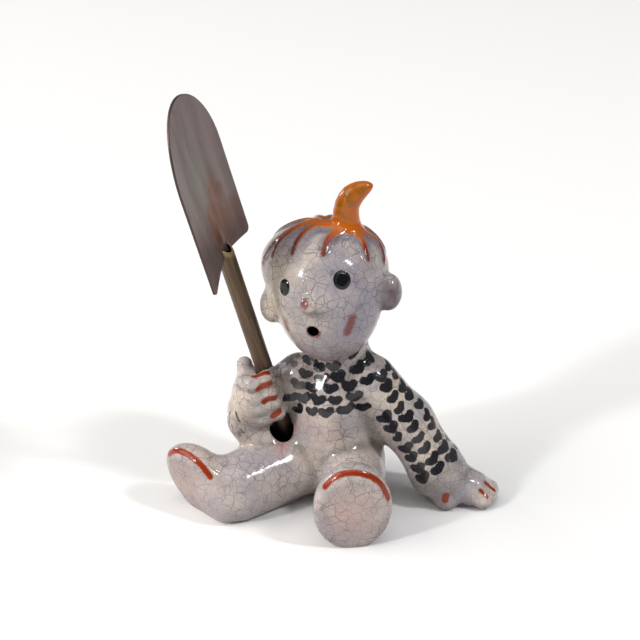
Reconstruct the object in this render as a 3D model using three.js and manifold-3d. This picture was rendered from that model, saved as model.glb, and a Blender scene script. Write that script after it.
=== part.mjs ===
// A seated toddler in glazed ceramic, with a metal spade held upright in its right fist.
// Millimetres, +Z up. The figure faces -Y and its left hand is on the +X side. The origin is the
// middle of the seat's underside, on the surface that the figure sits on.
//
// The ceramic is one cast piece. Its form is a field: a function of a place that gives the distance
// to the surface, negative inside. Balls, cones and eggs melt into each other as clay does, the
// field is wrapped in faces, and the faces are thinned out where the form is calm.
import * as THREE from "three";
import { mergeVertices } from "three/addons/utils/BufferGeometryUtils.js";
import Module from "manifold-3d";

const wasm = await Module();
wasm.setup();

const at = (x, y, z) => new THREE.Vector3(x, y, z);

// Clay: the width over which two forms melt together, from the skull down to fingers and locks.
const MELT = {
  skull: 8, trunk: 6, limb: 5, foot: 4, palm: 3, feature: 2, finger: 1.4, lock: 1, curl: 0.2,
};

// Torso: a column of balls from the seat to the neck.
const SEAT = { at: at(0, 3, 12.8), r: 15 };
const WAIST = { at: at(0, 1, 25), r: 14.5 };
const CHEST = { at: at(0.5, 0.5, 37), r: 12.5 };
const NECK = { at: at(3.1, 2.2, 51.3), r: 8.6 };

// Legs: a thigh that runs on into the shin, and a foot with a flat sole.
const HIP_LEFT = { at: at(7.8, -2.1, 12.3), r: 12.4 };
const HIP_RIGHT = { at: at(-8.1, -2, 12.4), r: 13.2 };
const ANKLE_LEFT = { at: at(17.3, -23.1, 11.4), r: 10.7 };
const ANKLE_RIGHT = { at: at(-24.5, -27.6, 9.9), r: 12.1 };
const SOLE_LEFT = {
  at: at(21.7, -35.2, 15),
  faces: at(0.46, -0.89, -0.08),
  toes: at(0, 0, 1),
  half: at(16.9, 13.4, 12.3),
};
const SOLE_RIGHT = {
  at: at(-37.5, -35.3, 10.5),
  faces: at(-0.35, -0.91, -0.22),
  toes: at(-0.69, 0.14, 0.71),
  half: at(16.1, 13.5, 10.1),
};
const SOLE_SETBACK = 3;
const SOLE_ROUND = 3;

// Left arm, propped on the ground beside the seat, with a thumb and three fingers that show.
const SHOULDER_LEFT = { at: at(13, 2, 44.4), r: 9.7 };
const ELBOW_LEFT = { at: at(25.6, 5.2, 29.4), r: 8.9 };
const WRIST_LEFT = { at: at(37.8, 6.4, 11.3), r: 9.8 };
const PALM_LEFT = { at: at(43.9, 7.4, 7), r: 5.8 };
const KNUCKLES_LEFT = { at: at(49.5, 9.2, 5.1), r: 6.5 };
const THUMB_LEFT = [
  { at: at(41, 5.5, 8), r: 4.5 },
  { at: at(42.2, 2.4, 3.4), r: 4.5 },
];
const FINGER_ROOT = { at: at(46.4, 9.5, 7.4), r: 4.6 };
const FINGER_TIPS = [at(54.3, 6.4, 3.4), at(55.1, 9.9, 3.5), at(54.4, 13.8, 3.2)];
const FINGER_TIP_R = 3.5;

// Spade: a tube with a sheet blade let into a slot at its top. It leans forward and to the right.
const LAP = at(-14.6, -7.4, 23);
const UP_SPADE = at(-0.165, -0.235, 0.958).normalize();
const ACROSS_BLADE = at(-0.121, 0.969, 0.217);
const TUBE = { r: 3, bore: 2.2, foot: -14, top: 81.8, slant: 1.1 };
const BLADE = {
  half: 18.8, thick: 0.8, dish: 1.4,
  shoulder: 74.3, notch: 4.3, straight: 110.8, tip: 136.3, corner: 2.2,
};
const BLADE_COLUMNS = 32;
const GAP = 0.3;
const SIDES = 24;

// Right arm: the elbow rests on the thigh and the fist closes round the tube.
const SHOULDER_RIGHT = { at: at(-11.1, -2.6, 43.7), r: 8.5 };
const UPPER_ARM_RIGHT = { at: at(-22, -9, 36), r: 6.9 };
const ELBOW_RIGHT = { at: at(-28.1, -12.5, 28.1), r: 6 };
const FOREARM_RIGHT = [
  { at: at(-25.9, -14.2, 33.4), r: 7.4 },
  { at: at(-25.6, -14, 27.8), r: 5.9 },
  { at: at(-20.7, -13.2, 22.4), r: 6.6 },
];
const THUMB_RIGHT = [
  { at: at(-24.9, -15.9, 44.5), r: 3.7 },
  { at: at(-27, -14, 51), r: 2.8 },
];
const ACROSS_FIST = at(0.914, 0.328, 0.238);
const FIST = { left: -5.2, front: 1.4, up: 18.6, half: at(9.1, 8.2, 11) };
const FINGER = { first: 28.6, pitch: 5, count: 4, r: 2.6 };
const FINGER_ROUTE = [
  { left: -7.8, front: 4.4 },
  { left: -4.5, front: 6.7 },
  { left: 0.5, front: 5.3 },
  { left: 1.5, front: 1.4 },
];
const LAP_HOLE = [
  { left: -1.2, front: 0.8, up: -10, r: 4.9 },
  { left: -0.6, front: 3.3, up: 4.6, r: 4.3 },
];
const LAP_WALL = { at: at(-17.5, -3.5, 18.5), r: 6 };
const BORE = { r: 3.3, top: 40 };

// Head: a skull, a fuller jaw and a cap of hair.
const HEAD = at(-0.4, -3.5, 80.8);
const SKULL = { from: at(-0.4, 0.2, 3.6), half: at(20.3, 21.2, 19.4) };
const JAW = { from: at(2, -2.7, -9.2), half: at(14.9, 15.8, 15.4) };
const HAIR = { from: at(-2, 1.7, 7), half: at(21.6, 19.8, 14.4) };
const NAPE = { at: at(0.3, 1.5, 64), r: 12 };
const EAR_HALF = at(4.5, 5, 6.5);
const EAR_LEFT = at(20.6, -1.6, 81.8);
const EAR_RIGHT = at(-16.2, -13.2, 75.8);
const NOSE = [
  { at: at(3.9, -20.3, 83.7), r: 5 },
  { at: at(1.8, -25, 84.2), r: 3.1 },
];
const MOUTH = { at: at(2.4, -24.2, 73.7), inwards: at(-0.15, 0.97, 0.19), r: 1.8, deep: 9, sides: 16 };

// Hair: raised locks that leave the curl and run down to their tips, each a path of directions on the
// head. A direction is an angle from the face round to the left ear, and an angle down from the crown.
const LOCK_PATHS = [
  [[76, 1], [-90, 20], [-69, 43], [-64, 66]],
  [[45, 2], [-75, 19], [-62, 39], [-53, 54]],
  [[61, 11], [-46, 12], [-34, 29], [-26, 42]],
  [[74, 17], [38, 17], [20, 26], [15, 37]],
  [[86, 24], [86, 32], [78, 39], [73, 48]],
  [[100, 25], [116, 39], [111, 49], [97, 59]],
  [[130, 22], [140, 36], [134, 48], [126, 60]],
  [[160, 20], [167, 36], [162, 50], [154, 63]],
  [[-160, 16], [-170, 34], [-176, 50], [180, 64]],
  [[-130, 12], [-143, 32], [-145, 50], [-148, 64]],
  [[-100, 8], [-112, 30], [-106, 48], [-104, 64]],
];
const LOCK = { r: 2, tip: 1.1, relief: 0.8, fade: 0.7, steps: 3 };
const CURL = [
  { at: at(5.5, -0.6, 100.2), r: 5.1 },
  { at: at(4.9, -0.8, 105.4), r: 4.5 },
  { at: at(5.2, -0.7, 110.3), r: 4.1 },
  { at: at(6.7, -0.1, 113.5), r: 3.9 },
  { at: at(8.7, 0.7, 115.4), r: 3.2 },
  { at: at(10.7, 1.5, 116.6), r: 2.2 },
  { at: at(12.1, 2.1, 117.1), r: 1.1 },
];
const CURL_STEPS = 2;

// Faces: the cell of the first, even wrap, the blocks of cells that are skipped where the surface is
// far, and how many faces stay.
const WRAP = new THREE.Box3(at(-58.5, -52, -5), at(66, 34, 123));
const CELL = 1.25;
const BLOCK = 4;
const BLOCK_REACH = 7;
const SETTLE = { rounds: 2, step: 0.05, flattest: 0.25 };
const RAY_STEPS = 12;
const THIN = { faces: 8600, share: 0.25, turn: 0.3, smallest: 1e-3, evenness: 1e-3 };

// Cutting tools: the slab under the table, and how far a tool stands past what it cuts.
const TABLE = { side: 200, thick: 20 };
const OVER = 5;

// How near two corners are one, and a length that keeps a division from failing.
const SAME_PLACE = 1e-4;
const TINY = 1e-9;

const CERAMIC = new THREE.MeshStandardMaterial({ color: 0xd9cfcb, roughness: 0.15, metalness: 0 });
const PATINA = new THREE.MeshStandardMaterial({ color: 0x6e6262, roughness: 0.45, metalness: 0.9 });
const BROWN_METAL = new THREE.MeshStandardMaterial({ color: 0x5c4a36, roughness: 0.5, metalness: 0.9 });

const length = (x, y, z) => Math.sqrt(x * x + y * y + z * z);
const along = (start, direction, distance) => start.clone().addScaledVector(direction, distance);
const squareTo = (v, axis) => along(v, axis, -v.dot(axis)).normalize();

// The smaller of two distances, rounded over a width k where they are nearly equal.
function soft(k, a, b) {
  const h = Math.max(k - Math.abs(a - b), 0) / k;
  return Math.min(a, b) - (h * h * k) / 4;
}

const melt = (k, ...fields) => (x, y, z) =>
  fields.reduce((d, field) => soft(k, d, field(x, y, z)), Infinity);
const common = (k, a, b) => (x, y, z) => -soft(k, -a(x, y, z), -b(x, y, z));
const carve = (k, field, tool) => (x, y, z) => -soft(k, -field(x, y, z), tool(x, y, z));

// A cone with a ball at each end.
function cone(a, b) {
  const { x: ax, y: ay, z: az } = a.at;
  const { x: dx, y: dy, z: dz } = b.at.clone().sub(a.at);
  const square = dx * dx + dy * dy + dz * dz;
  return (x, y, z) => {
    const part = ((x - ax) * dx + (y - ay) * dy + (z - az) * dz) / square;
    const t = Math.min(Math.max(part, 0), 1);
    return length(x - ax - t * dx, y - ay - t * dy, z - az - t * dz) - a.r - t * (b.r - a.r);
  };
}

const chain = (k, balls) => melt(k, ...balls.slice(1).map((ball, i) => cone(balls[i], ball)));

// An egg with three half axes, along three directions that are square to each other.
function egg(centre, half, [u, v, w] = [at(1, 0, 0), at(0, 1, 0), at(0, 0, 1)]) {
  return (x, y, z) => {
    const dx = x - centre.x;
    const dy = y - centre.y;
    const dz = z - centre.z;
    const a = (dx * u.x + dy * u.y + dz * u.z) / half.x;
    const b = (dx * v.x + dy * v.y + dz * v.z) / half.y;
    const c = (dx * w.x + dy * w.y + dz * w.z) / half.z;
    const size = length(a, b, c);
    return (size * (size - 1)) / (length(a / half.x, b / half.y, c / half.z) + TINY);
  };
}

const side = (point, out) => (x, y, z) =>
  (x - point.x) * out.x + (y - point.y) * out.y + (z - point.z) * out.z;

// A foot: an egg that its flat sole cuts off.
function foot({ at: centre, faces, toes, half }) {
  const out = faces.clone().normalize();
  const up = squareTo(toes, out);
  const body = egg(along(centre, out, -SOLE_SETBACK), half, [up, up.clone().cross(out), out]);
  return common(SOLE_ROUND, body, side(centre, out));
}

const leg = (hip, ankle, sole) => melt(MELT.foot, cone(hip, ankle), foot(sole));

function leftHand() {
  const palm = chain(MELT.foot, [WRIST_LEFT, PALM_LEFT, KNUCKLES_LEFT]);
  const fingers = FINGER_TIPS.map((tip) => cone(FINGER_ROOT, { at: tip, r: FINGER_TIP_R }));
  return melt(MELT.finger, melt(MELT.feature, palm, cone(...THUMB_LEFT)), ...fingers);
}

// The fist's own directions, square to the tube, and a place that is given along them.
const LEFT_OF_TUBE = squareTo(ACROSS_FIST, UP_SPADE);
const FRONT_OF_TUBE = LEFT_OF_TUBE.clone().cross(UP_SPADE);
const byTube = ({ left, front }, up) =>
  along(along(along(LAP, LEFT_OF_TUBE, left), FRONT_OF_TUBE, front), UP_SPADE, up);

// Four fingers curl from the back of the fist over its front and round the far side of the tube.
function fist() {
  const palm = egg(byTube(FIST, FIST.up), FIST.half, [LEFT_OF_TUBE, FRONT_OF_TUBE, UP_SPADE]);
  const fingers = Array.from({ length: FINGER.count }, (_, i) => {
    const up = FINGER.first - i * FINGER.pitch;
    return chain(MELT.finger, FINGER_ROUTE.map((spot) => ({ at: byTube(spot, up), r: FINGER.r })));
  });
  const knuckles = melt(MELT.finger, palm, ...fingers);
  return melt(MELT.feature, knuckles, cone(...THUMB_RIGHT));
}

// The hole that the tube stands in is wider than the tube, and leans forward from the tube's foot.
function lapHole() {
  const [low, high] = LAP_HOLE.map((end) => ({ at: byTube(end, end.up), r: end.r }));
  return cone(low, high);
}

const fromHead = ({ from, half }) => egg(HEAD.clone().add(from), half);

function face() {
  const skull = melt(MELT.skull, fromHead(SKULL), fromHead(JAW));
  const ears = [EAR_LEFT, EAR_RIGHT].map((ear) => egg(ear, EAR_HALF));
  const head = melt(MELT.feature, skull, fromHead(HAIR), ...ears, cone(...NOSE));
  return melt(MELT.palm, head, cone(NAPE, NECK));
}

// A direction on the head, as LOCK_PATHS gives it.
function direction([round, down]) {
  const turn = THREE.MathUtils.degToRad(round);
  const { x, y, z } = at(0, 0, 0).setFromSphericalCoords(1, THREE.MathUtils.degToRad(down), turn);
  return at(x, -z, y);
}

// A smooth curve through places.
const smoothCurve = (places) => new THREE.CatmullRomCurve3(places, false, "catmullrom", 0.5);

// Balls on a smooth curve through the centres of some balls, with radii in proportion.
function smoothBalls(balls, steps) {
  const curve = smoothCurve(balls.map((ball) => ball.at));
  const last = balls.length - 1;
  return Array.from({ length: last * steps + 1 }, (_, i) => {
    const part = i / steps;
    const k = Math.min(Math.floor(part), last - 1);
    const r = THREE.MathUtils.lerp(balls[k].r, balls[k + 1].r, part - k);
    return { at: curve.getPoint(part / last), r };
  });
}

// Where a ray from the middle of the head leaves a field.
function surfaceAlong(field, way) {
  let reach = 2 * SKULL.half.x;
  for (let i = 0; i < RAY_STEPS; i++) {
    const p = along(HEAD, way, reach);
    reach -= field(p.x, p.y, p.z);
  }
  return reach;
}

// A lock follows a smooth curve through its path's directions. Its balls are sunk into the head, so
// that a rib of one height shows, lower at its tip.
function lock(head, path) {
  const curve = smoothCurve(path.map(direction));
  const count = (path.length - 1) * LOCK.steps;
  const balls = Array.from({ length: count + 1 }, (_, i) => {
    const done = i / count;
    const way = curve.getPoint(done).normalize();
    const r = THREE.MathUtils.lerp(LOCK.r, LOCK.tip, done ** 2);
    const relief = LOCK.relief * (1 - LOCK.fade * done ** 4);
    return { at: along(HEAD, way, surfaceAlong(head, way) - r + relief), r };
  });
  return chain(MELT.lock, balls);
}

function bodyField() {
  const trunk = chain(MELT.trunk, [SEAT, WAIST, CHEST, NECK]);
  const legs = [leg(HIP_LEFT, ANKLE_LEFT, SOLE_LEFT), leg(HIP_RIGHT, ANKLE_RIGHT, SOLE_RIGHT)];
  const leftArm = chain(MELT.limb, [SHOULDER_LEFT, ELBOW_LEFT, WRIST_LEFT]);
  const rightArm = chain(MELT.foot, [SHOULDER_RIGHT, UPPER_ARM_RIGHT, ELBOW_RIGHT]);
  const lapWall = cone(LAP_WALL, { at: SEAT.at, r: LAP_WALL.r });
  const body = melt(MELT.limb, trunk, ...legs, lapWall, leftArm, rightArm);
  const forearm = melt(MELT.palm, fist(), chain(MELT.palm, FOREARM_RIGHT));
  return melt(MELT.palm, body, leftHand(), forearm);
}

function headField() {
  const head = face();
  const locks = LOCK_PATHS.map((path) => lock(head, path));
  const curl = chain(MELT.curl, smoothBalls(CURL, CURL_STEPS));
  return melt(MELT.palm, melt(MELT.lock, head, ...locks), curl);
}

const figureField = () => carve(MELT.lock, melt(MELT.palm, bodyField(), headField()), lapHole());

// The field at the corners of a grid. A block of corners far from the surface takes one value.
function sample(field, box, cell) {
  const size = box.getSize(at(0, 0, 0)).divideScalar(cell * BLOCK).ceil().multiplyScalar(BLOCK);
  const step = [1, size.x, size.x * size.y];
  const place = (i) => [i % size.x, Math.floor(i / size.x) % size.y, Math.floor(i / step[2])];
  const value = new Float32Array(size.x * size.y * size.z);
  const corner = ([x, y, z]) => field(box.min.x + x * cell, box.min.y + y * cell, box.min.z + z * cell);
  const middle = (BLOCK - 1) / 2;
  for (const [x, y, z] of blocks(size)) {
    const rough = corner([x + middle, y + middle, z + middle]);
    const near = Math.abs(rough) < BLOCK_REACH;
    for (let i = 0; i < BLOCK ** 3; i++) {
      const [dx, dy, dz] = [i % BLOCK, Math.floor(i / BLOCK) % BLOCK, Math.floor(i / BLOCK ** 2)];
      const spot = [x + dx, y + dy, z + dz];
      value[spot[0] + spot[1] * step[1] + spot[2] * step[2]] = near ? corner(spot) : rough;
    }
  }
  return { value, step, place };
}

// The first corner of each block of a grid.
function* blocks(size) {
  for (let z = 0; z < size.z; z += BLOCK)
    for (let y = 0; y < size.y; y += BLOCK)
      for (let x = 0; x < size.x; x += BLOCK) yield [x, y, z];
}

// Wraps the field in faces: one point in each cell that the surface crosses, at the mean of the
// crossings on the cell's edges, and two faces across each crossed edge.
function wrap(field, box, cell) {
  const { value, step, place } = sample(field, box, cell);
  const pointOf = new Map();
  const points = [];
  const pointIn = (i) => {
    if (!pointOf.has(i)) pointOf.set(i, points.push({ sum: at(0, 0, 0), count: 0 }) - 1);
    return pointOf.get(i);
  };
  const quads = [];
  for (let i = 0; i < value.length - step[2]; i++) {
    for (let axis = 0; axis < 3; axis++) {
      const j = i + step[axis];
      if (value[i] < 0 === value[j] < 0) continue;
      const [u, v] = [step[(axis + 1) % 3], step[(axis + 2) % 3]];
      const quad = [i - u - v, i - v, i, i - u].map(pointIn);
      const crossing = at(...place(i));
      crossing.setComponent(axis, crossing.getComponent(axis) + value[i] / (value[i] - value[j]));
      for (const p of quad) {
        points[p].sum.add(crossing);
        points[p].count += 1;
      }
      quads.push(value[i] < 0 ? quad : quad.reverse());
    }
  }
  return {
    points: points.map(({ sum, count }) => settle(field, sum.multiplyScalar(cell / count).add(box.min))),
    faces: quads.flatMap(([a, b, c, d]) => [[a, b, c], [a, c, d]]),
  };
}

// Moves a point onto the surface, along the way in which the field grows fastest.
function settle(field, p) {
  const h = SETTLE.step;
  for (let i = 0; i < SETTLE.rounds; i++) {
    const d = THREE.MathUtils.clamp(field(p.x, p.y, p.z), -CELL / 2, CELL / 2);
    const slope = at(
      field(p.x + h, p.y, p.z) - field(p.x - h, p.y, p.z),
      field(p.x, p.y + h, p.z) - field(p.x, p.y - h, p.z),
      field(p.x, p.y, p.z + h) - field(p.x, p.y, p.z - h),
    ).divideScalar(2 * h);
    p.addScaledVector(slope, -d / Math.max(slope.lengthSq(), SETTLE.flattest));
  }
  return p;
}

const normalOf = (a, b, c) => b.clone().sub(a).cross(c.clone().sub(a));

// The sum of squared distances from a point to planes, as ten numbers, and its value at a point.
function planeError(a, b, c) {
  const n = normalOf(a, b, c);
  const area = n.length();
  n.normalize();
  const q = [n.x, n.y, n.z, -n.dot(a)];
  return q.flatMap((p, i) => q.slice(i).map((r) => p * r * area));
}
const errorAt = (e, { x, y, z }) =>
  e[0] * x * x + e[4] * y * y + e[7] * z * z + e[9] +
  2 * (e[1] * x * y + e[2] * x * z + e[5] * y * z + e[3] * x + e[6] * y + e[8] * z);

// A mesh with the faces round each point, and the planes that each point stands for.
function measured({ points, faces }) {
  const around = points.map(() => new Set());
  const errors = points.map(() => new Float64Array(10));
  faces.forEach((face, f) => {
    const error = planeError(...face.map((p) => points[p]));
    for (const p of face) {
      around[p].add(f);
      error.forEach((value, i) => (errors[p][i] += value));
    }
  });
  return { points, faces, around, errors };
}

const neighbours = ({ faces, around }, p) =>
  new Set([...around[p]].flatMap((f) => faces[f]).filter((q) => q !== p));

// What it costs to fold an edge into one point, and where that point is best.
function rate({ points, errors }, [u, v]) {
  const error = errors[u].map((value, i) => value + errors[v][i]);
  const choices = [0.5, 0, 1].map((t) => points[u].clone().lerp(points[v], t));
  const costs = choices.map((choice) => errorAt(error, choice));
  const least = Math.min(...costs);
  const cost = least + THIN.evenness * points[u].distanceToSquared(points[v]);
  return { u, v, error, cost, to: choices[costs.indexOf(least)] };
}

// Whether each face that stays still looks the same way when a point moves.
function keepsFacing({ points, faces, around }, p, other, to) {
  const staying = [...around[p]].map((f) => faces[f]).filter((face) => !face.includes(other));
  return staying.every((face) => {
    const before = normalOf(...face.map((q) => points[q]));
    const after = normalOf(...face.map((q) => (q === p ? to : points[q])));
    const size = after.length();
    return size > THIN.smallest && before.dot(after) > THIN.turn * before.length() * size;
  });
}

function fold({ points, faces, around, errors }, { u, v, error, to }) {
  points[u] = to;
  errors[u] = error;
  for (const f of around[v]) {
    if (faces[f].includes(u)) {
      faces[f].forEach((p) => around[p].delete(f));
      faces[f] = null;
    } else {
      faces[f] = faces[f].map((p) => (p === v ? u : p));
      around[u].add(f);
    }
  }
}

// The share of the edges that cost least to fold, cheapest first.
function cheapEdges(mesh) {
  const edges = mesh.faces
    .filter(Boolean)
    .flatMap(([a, b, c]) => [[a, b], [b, c], [c, a]])
    .filter(([a, b]) => a < b)
    .map((edge) => rate(mesh, edge))
    .sort((a, b) => a.cost - b.cost);
  return edges.slice(0, edges.length * THIN.share);
}

// Thins a closed mesh. Each round folds the edges whose joined point stays nearest to the planes of
// the faces that it stands for, where the mesh stays one closed sheet and no face turns over.
function thin(source) {
  const mesh = measured(source);
  let left = mesh.faces.length;
  while (left > THIN.faces) {
    const touched = new Set();
    for (const edge of cheapEdges(mesh)) {
      const { u, v, to } = edge;
      if (left <= THIN.faces || touched.has(u) || touched.has(v)) continue;
      const [near, far] = [neighbours(mesh, u), neighbours(mesh, v)];
      if ([...near].filter((p) => far.has(p)).length !== 2) continue;
      if (!keepsFacing(mesh, u, v, to) || !keepsFacing(mesh, v, u, to)) continue;
      fold(mesh, edge);
      left -= 2;
      for (const p of [u, ...near, ...far]) touched.add(p);
    }
  }
  return { points: mesh.points, faces: mesh.faces.filter(Boolean) };
}

function geometryOf({ points, faces }) {
  const corners = faces.flat().flatMap((p) => points[p].toArray());
  return new THREE.BufferGeometry().setAttribute("position", new THREE.Float32BufferAttribute(corners, 3));
}

function solidOf(geometry) {
  const bare = geometry.clone();
  bare.deleteAttribute("normal");
  bare.deleteAttribute("uv");
  const merged = mergeVertices(bare, SAME_PLACE);
  const vertProperties = merged.attributes.position.array;
  const triVerts = new Uint32Array(merged.index.array);
  return new wasm.Manifold(new wasm.Mesh({ numProp: 3, vertProperties, triVerts }));
}

function meshOf(name, solid, material) {
  const { numProp, vertProperties, triVerts } = solid.getMesh();
  const geometry = new THREE.BufferGeometry();
  geometry.setAttribute("position", new THREE.BufferAttribute(Float32Array.from(vertProperties), numProp));
  geometry.setIndex([...triVerts]);
  geometry.computeVertexNormals();
  const mesh = new THREE.Mesh(geometry, material);
  mesh.name = name;
  return mesh;
}

// A round bar along z.
function bar(r, from, to, sides = SIDES) {
  const shape = new THREE.CylinderGeometry(r, r, to - from, sides);
  return shape.rotateX(Math.PI / 2).translate(0, 0, (from + to) / 2);
}

const boxAt = (size, centre) => new THREE.BoxGeometry(...size).translate(...centre);

// The mouth is a round hole with a closed end.
function mouthTool() {
  const { at: place, inwards, r, deep, sides } = MOUTH;
  const turn = new THREE.Quaternion().setFromUnitVectors(at(0, 0, 1), inwards.clone().normalize());
  return bar(r, -OVER, deep, sides).applyQuaternion(turn).translate(...place.toArray());
}

// The spade's frame: z up the tube, x across the blade, and y square to the blade.
function spadeGroup() {
  const group = new THREE.Group();
  const across = squareTo(ACROSS_BLADE, UP_SPADE);
  const toFace = UP_SPADE.clone().cross(across);
  group.quaternion.setFromRotationMatrix(new THREE.Matrix4().makeBasis(across, toFace, UP_SPADE));
  group.position.copy(LAP);
  group.updateMatrixWorld();
  return group;
}

// The clay, flat where it meets the table, with the bore for the tube and the mouth. The bore's flat
// sides stand clear of the tube.
function childFigure(spadeFrame) {
  const clay = thin(wrap(figureField(), WRAP, CELL));
  const table = boxAt([TABLE.side, TABLE.side, TABLE.thick], [0, 0, -TABLE.thick / 2]);
  const bore = bar(BORE.r / Math.cos(Math.PI / SIDES), TUBE.foot - GAP, BORE.top);
  const cuts = [table, bore.applyMatrix4(spadeFrame.matrixWorld), mouthTool()];
  const solid = cuts.reduce((left, cut) => left.subtract(solidOf(cut)), solidOf(geometryOf(clay)));
  return meshOf("child_figure", solid, CERAMIC);
}

// How far the blade's dish takes it from its middle plane, at a distance across.
const dishAt = (x) => BLADE.dish * (x / BLADE.half) ** 2;

// A tube, slotted for the blade and cut on a slant at its open top.
function spadeShaft() {
  const slotFoot = BLADE.shoulder + BLADE.notch * (1 - TUBE.r / BLADE.half) - 2 * GAP;
  const slotWidth = BLADE.thick + 2 * (GAP + dishAt(TUBE.r));
  const slot = boxAt([4 * TUBE.r, slotWidth, 2 * (TUBE.top - slotFoot)], [0, 0, TUBE.top]);
  const wide = 8 * TUBE.r;
  const above = boxAt([wide, wide, wide], [0, 0, wide / 2]).rotateX(Math.atan(TUBE.slant));
  const outside = bar(TUBE.r, TUBE.foot, TUBE.top + OVER);
  const inside = bar(TUBE.bore, TUBE.foot - OVER, TUBE.top + 2 * OVER);
  const cuts = [inside, slot, above.translate(0, 0, TUBE.top)];
  const solid = cuts.reduce((left, cut) => left.subtract(solidOf(cut)), solidOf(outside));
  return meshOf("spade_shaft", solid, BROWN_METAL);
}

// The two ends of the blade at a distance across: shoulders that drop from the tube to rounded
// corners, and a tip that is half an ellipse.
function bladeEnds(x) {
  const { half, shoulder, straight, tip, corner, notch } = BLADE;
  const part = Math.abs(x) / half;
  const past = Math.max(Math.abs(x) - half + corner, 0) / corner;
  const low = shoulder + notch * (1 - part) + corner * (1 - Math.sqrt(1 - past ** 2));
  const high = straight + (tip - straight) * Math.sqrt(1 - part ** 2);
  return [low, high];
}

// A sheet that is dished across, as columns that lie closer together towards its straight sides.
function spadeBlade() {
  const { half, thick } = BLADE;
  const sheet = new THREE.BoxGeometry(2, thick, 2, BLADE_COLUMNS, 1, 1);
  const { position } = sheet.attributes;
  for (let i = 0; i < position.count; i++) {
    const x = half * Math.sin((position.getX(i) * Math.PI) / 2);
    const [low, high] = bladeEnds(x);
    position.setXYZ(i, x, position.getY(i) - dishAt(x), position.getZ(i) < 0 ? low : high);
  }
  return meshOf("spade_blade", solidOf(sheet), PATINA);
}

const spade = spadeGroup();
const figurine = new THREE.Group();
figurine.add(childFigure(spade), spade);
spade.add(spadeShaft(), spadeBlade());

export default figurine;
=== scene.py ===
"""A seated toddler in crackle-glazed ceramic, with a metal spade held upright in its right fist.

Lengths are in millimetres, +Z is up, the figure faces -Y and its left hand is on the +X side. The
origin is the middle of the seat's underside. A mesh is turned into metres as it is put into the
scene. The child's form is a field: a function of places that gives the distance to the surface,
negative inside. Balls, cones and eggs melt into each other as clay does.
"""

import bpy
import numpy as np
from mathutils import Matrix, Vector


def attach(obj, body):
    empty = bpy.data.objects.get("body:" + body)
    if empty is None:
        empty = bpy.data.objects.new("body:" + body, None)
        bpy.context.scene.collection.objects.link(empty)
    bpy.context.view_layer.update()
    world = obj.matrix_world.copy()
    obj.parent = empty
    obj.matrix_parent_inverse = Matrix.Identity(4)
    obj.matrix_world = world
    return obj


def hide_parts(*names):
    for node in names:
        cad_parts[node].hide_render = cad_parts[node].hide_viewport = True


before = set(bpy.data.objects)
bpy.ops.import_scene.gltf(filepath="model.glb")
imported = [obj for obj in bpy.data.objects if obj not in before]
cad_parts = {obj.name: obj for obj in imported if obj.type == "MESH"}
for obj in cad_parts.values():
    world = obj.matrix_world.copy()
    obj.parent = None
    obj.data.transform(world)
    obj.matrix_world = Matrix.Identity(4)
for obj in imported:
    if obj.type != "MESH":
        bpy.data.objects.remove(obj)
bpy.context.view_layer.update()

bl_info = {
    "name": "Ceramic toddler with a spade",
    "version": (1, 0, 0),
    "blender": (4, 5, 0),
    "location": "View3D > Sidebar > Figurine",
    "description": "Makes a glazed ceramic toddler that holds a metal spade",
    "category": "Add Mesh",
}

MM = 0.001

# Clay: the width over which two forms melt together.
MELT = {
    "skull": 8, "trunk": 6, "limb": 5, "foot": 4, "palm": 3, "feature": 2, "finger": 1.4,
    "lock": 1, "curl": 0.2,
}

# Torso, as balls (x, y, z, radius) from the seat to the neck.
SEAT = (0, 3, 12.8, 15)
NECK = (3.1, 2.2, 51.3, 8.6)
TRUNK = (SEAT, (0, 1, 25, 14.5), (0.5, 0.5, 37, 12.5), NECK)

# Legs: a thigh that runs on into the shin, and a foot with a flat sole.
HIP_LEFT = (7.8, -2.1, 12.3, 12.4)
HIP_RIGHT = (-8.1, -2, 12.4, 13.2)
ANKLE_LEFT = (17.3, -23.1, 11.4, 10.7)
ANKLE_RIGHT = (-24.5, -27.6, 9.9, 12.1)
SOLE_LEFT = {
    "at": (21.7, -35.2, 15), "faces": (0.46, -0.89, -0.08), "toes": (0, 0, 1), "half": (16.9, 13.4, 12.3),
}
SOLE_RIGHT = {
    "at": (-37.5, -35.3, 10.5), "faces": (-0.35, -0.91, -0.22), "toes": (-0.69, 0.14, 0.71),
    "half": (16.1, 13.5, 10.1),
}
SOLE_SETBACK = 3
SOLE_ROUND = 3

# Left arm, propped on the ground, with a thumb and three fingers that show.
SHOULDER_LEFT = (13, 2, 44.4, 9.7)
ELBOW_LEFT = (25.6, 5.2, 29.4, 8.9)
WRIST_LEFT = (37.8, 6.4, 11.3, 9.8)
PALM_LEFT = (WRIST_LEFT, (43.9, 7.4, 7, 5.8), (49.5, 9.2, 5.1, 6.5))
THUMB_LEFT = ((41, 5.5, 8, 4.5), (42.2, 2.4, 3.4, 4.5))
FINGER_ROOT = (46.4, 9.5, 7.4, 4.6)
FINGER_TIPS = ((54.3, 6.4, 3.4, 3.5), (55.1, 9.9, 3.5, 3.5), (54.4, 13.8, 3.2, 3.5))

# Spade: a tube with a sheet blade let into its top. It leans forward and to the right.
LAP = np.array((-14.6, -7.4, 23.0))
UP_SPADE = np.array((-0.165, -0.235, 0.958))
ACROSS_BLADE = np.array((-0.121, 0.969, 0.217))
TUBE = {"r": 3, "bore": 2.2, "foot": -14, "top": 81.8, "slant": 1.1}
BLADE = {
    "half": 18.8, "thick": 0.8, "edge": 0.3, "dish": 1.4, "shoulder": 74.3, "notch": 4.3, "straight": 110.8,
    "tip": 136.3, "corner": 2.2,
}
SLOT_GAP = 0.12

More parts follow.
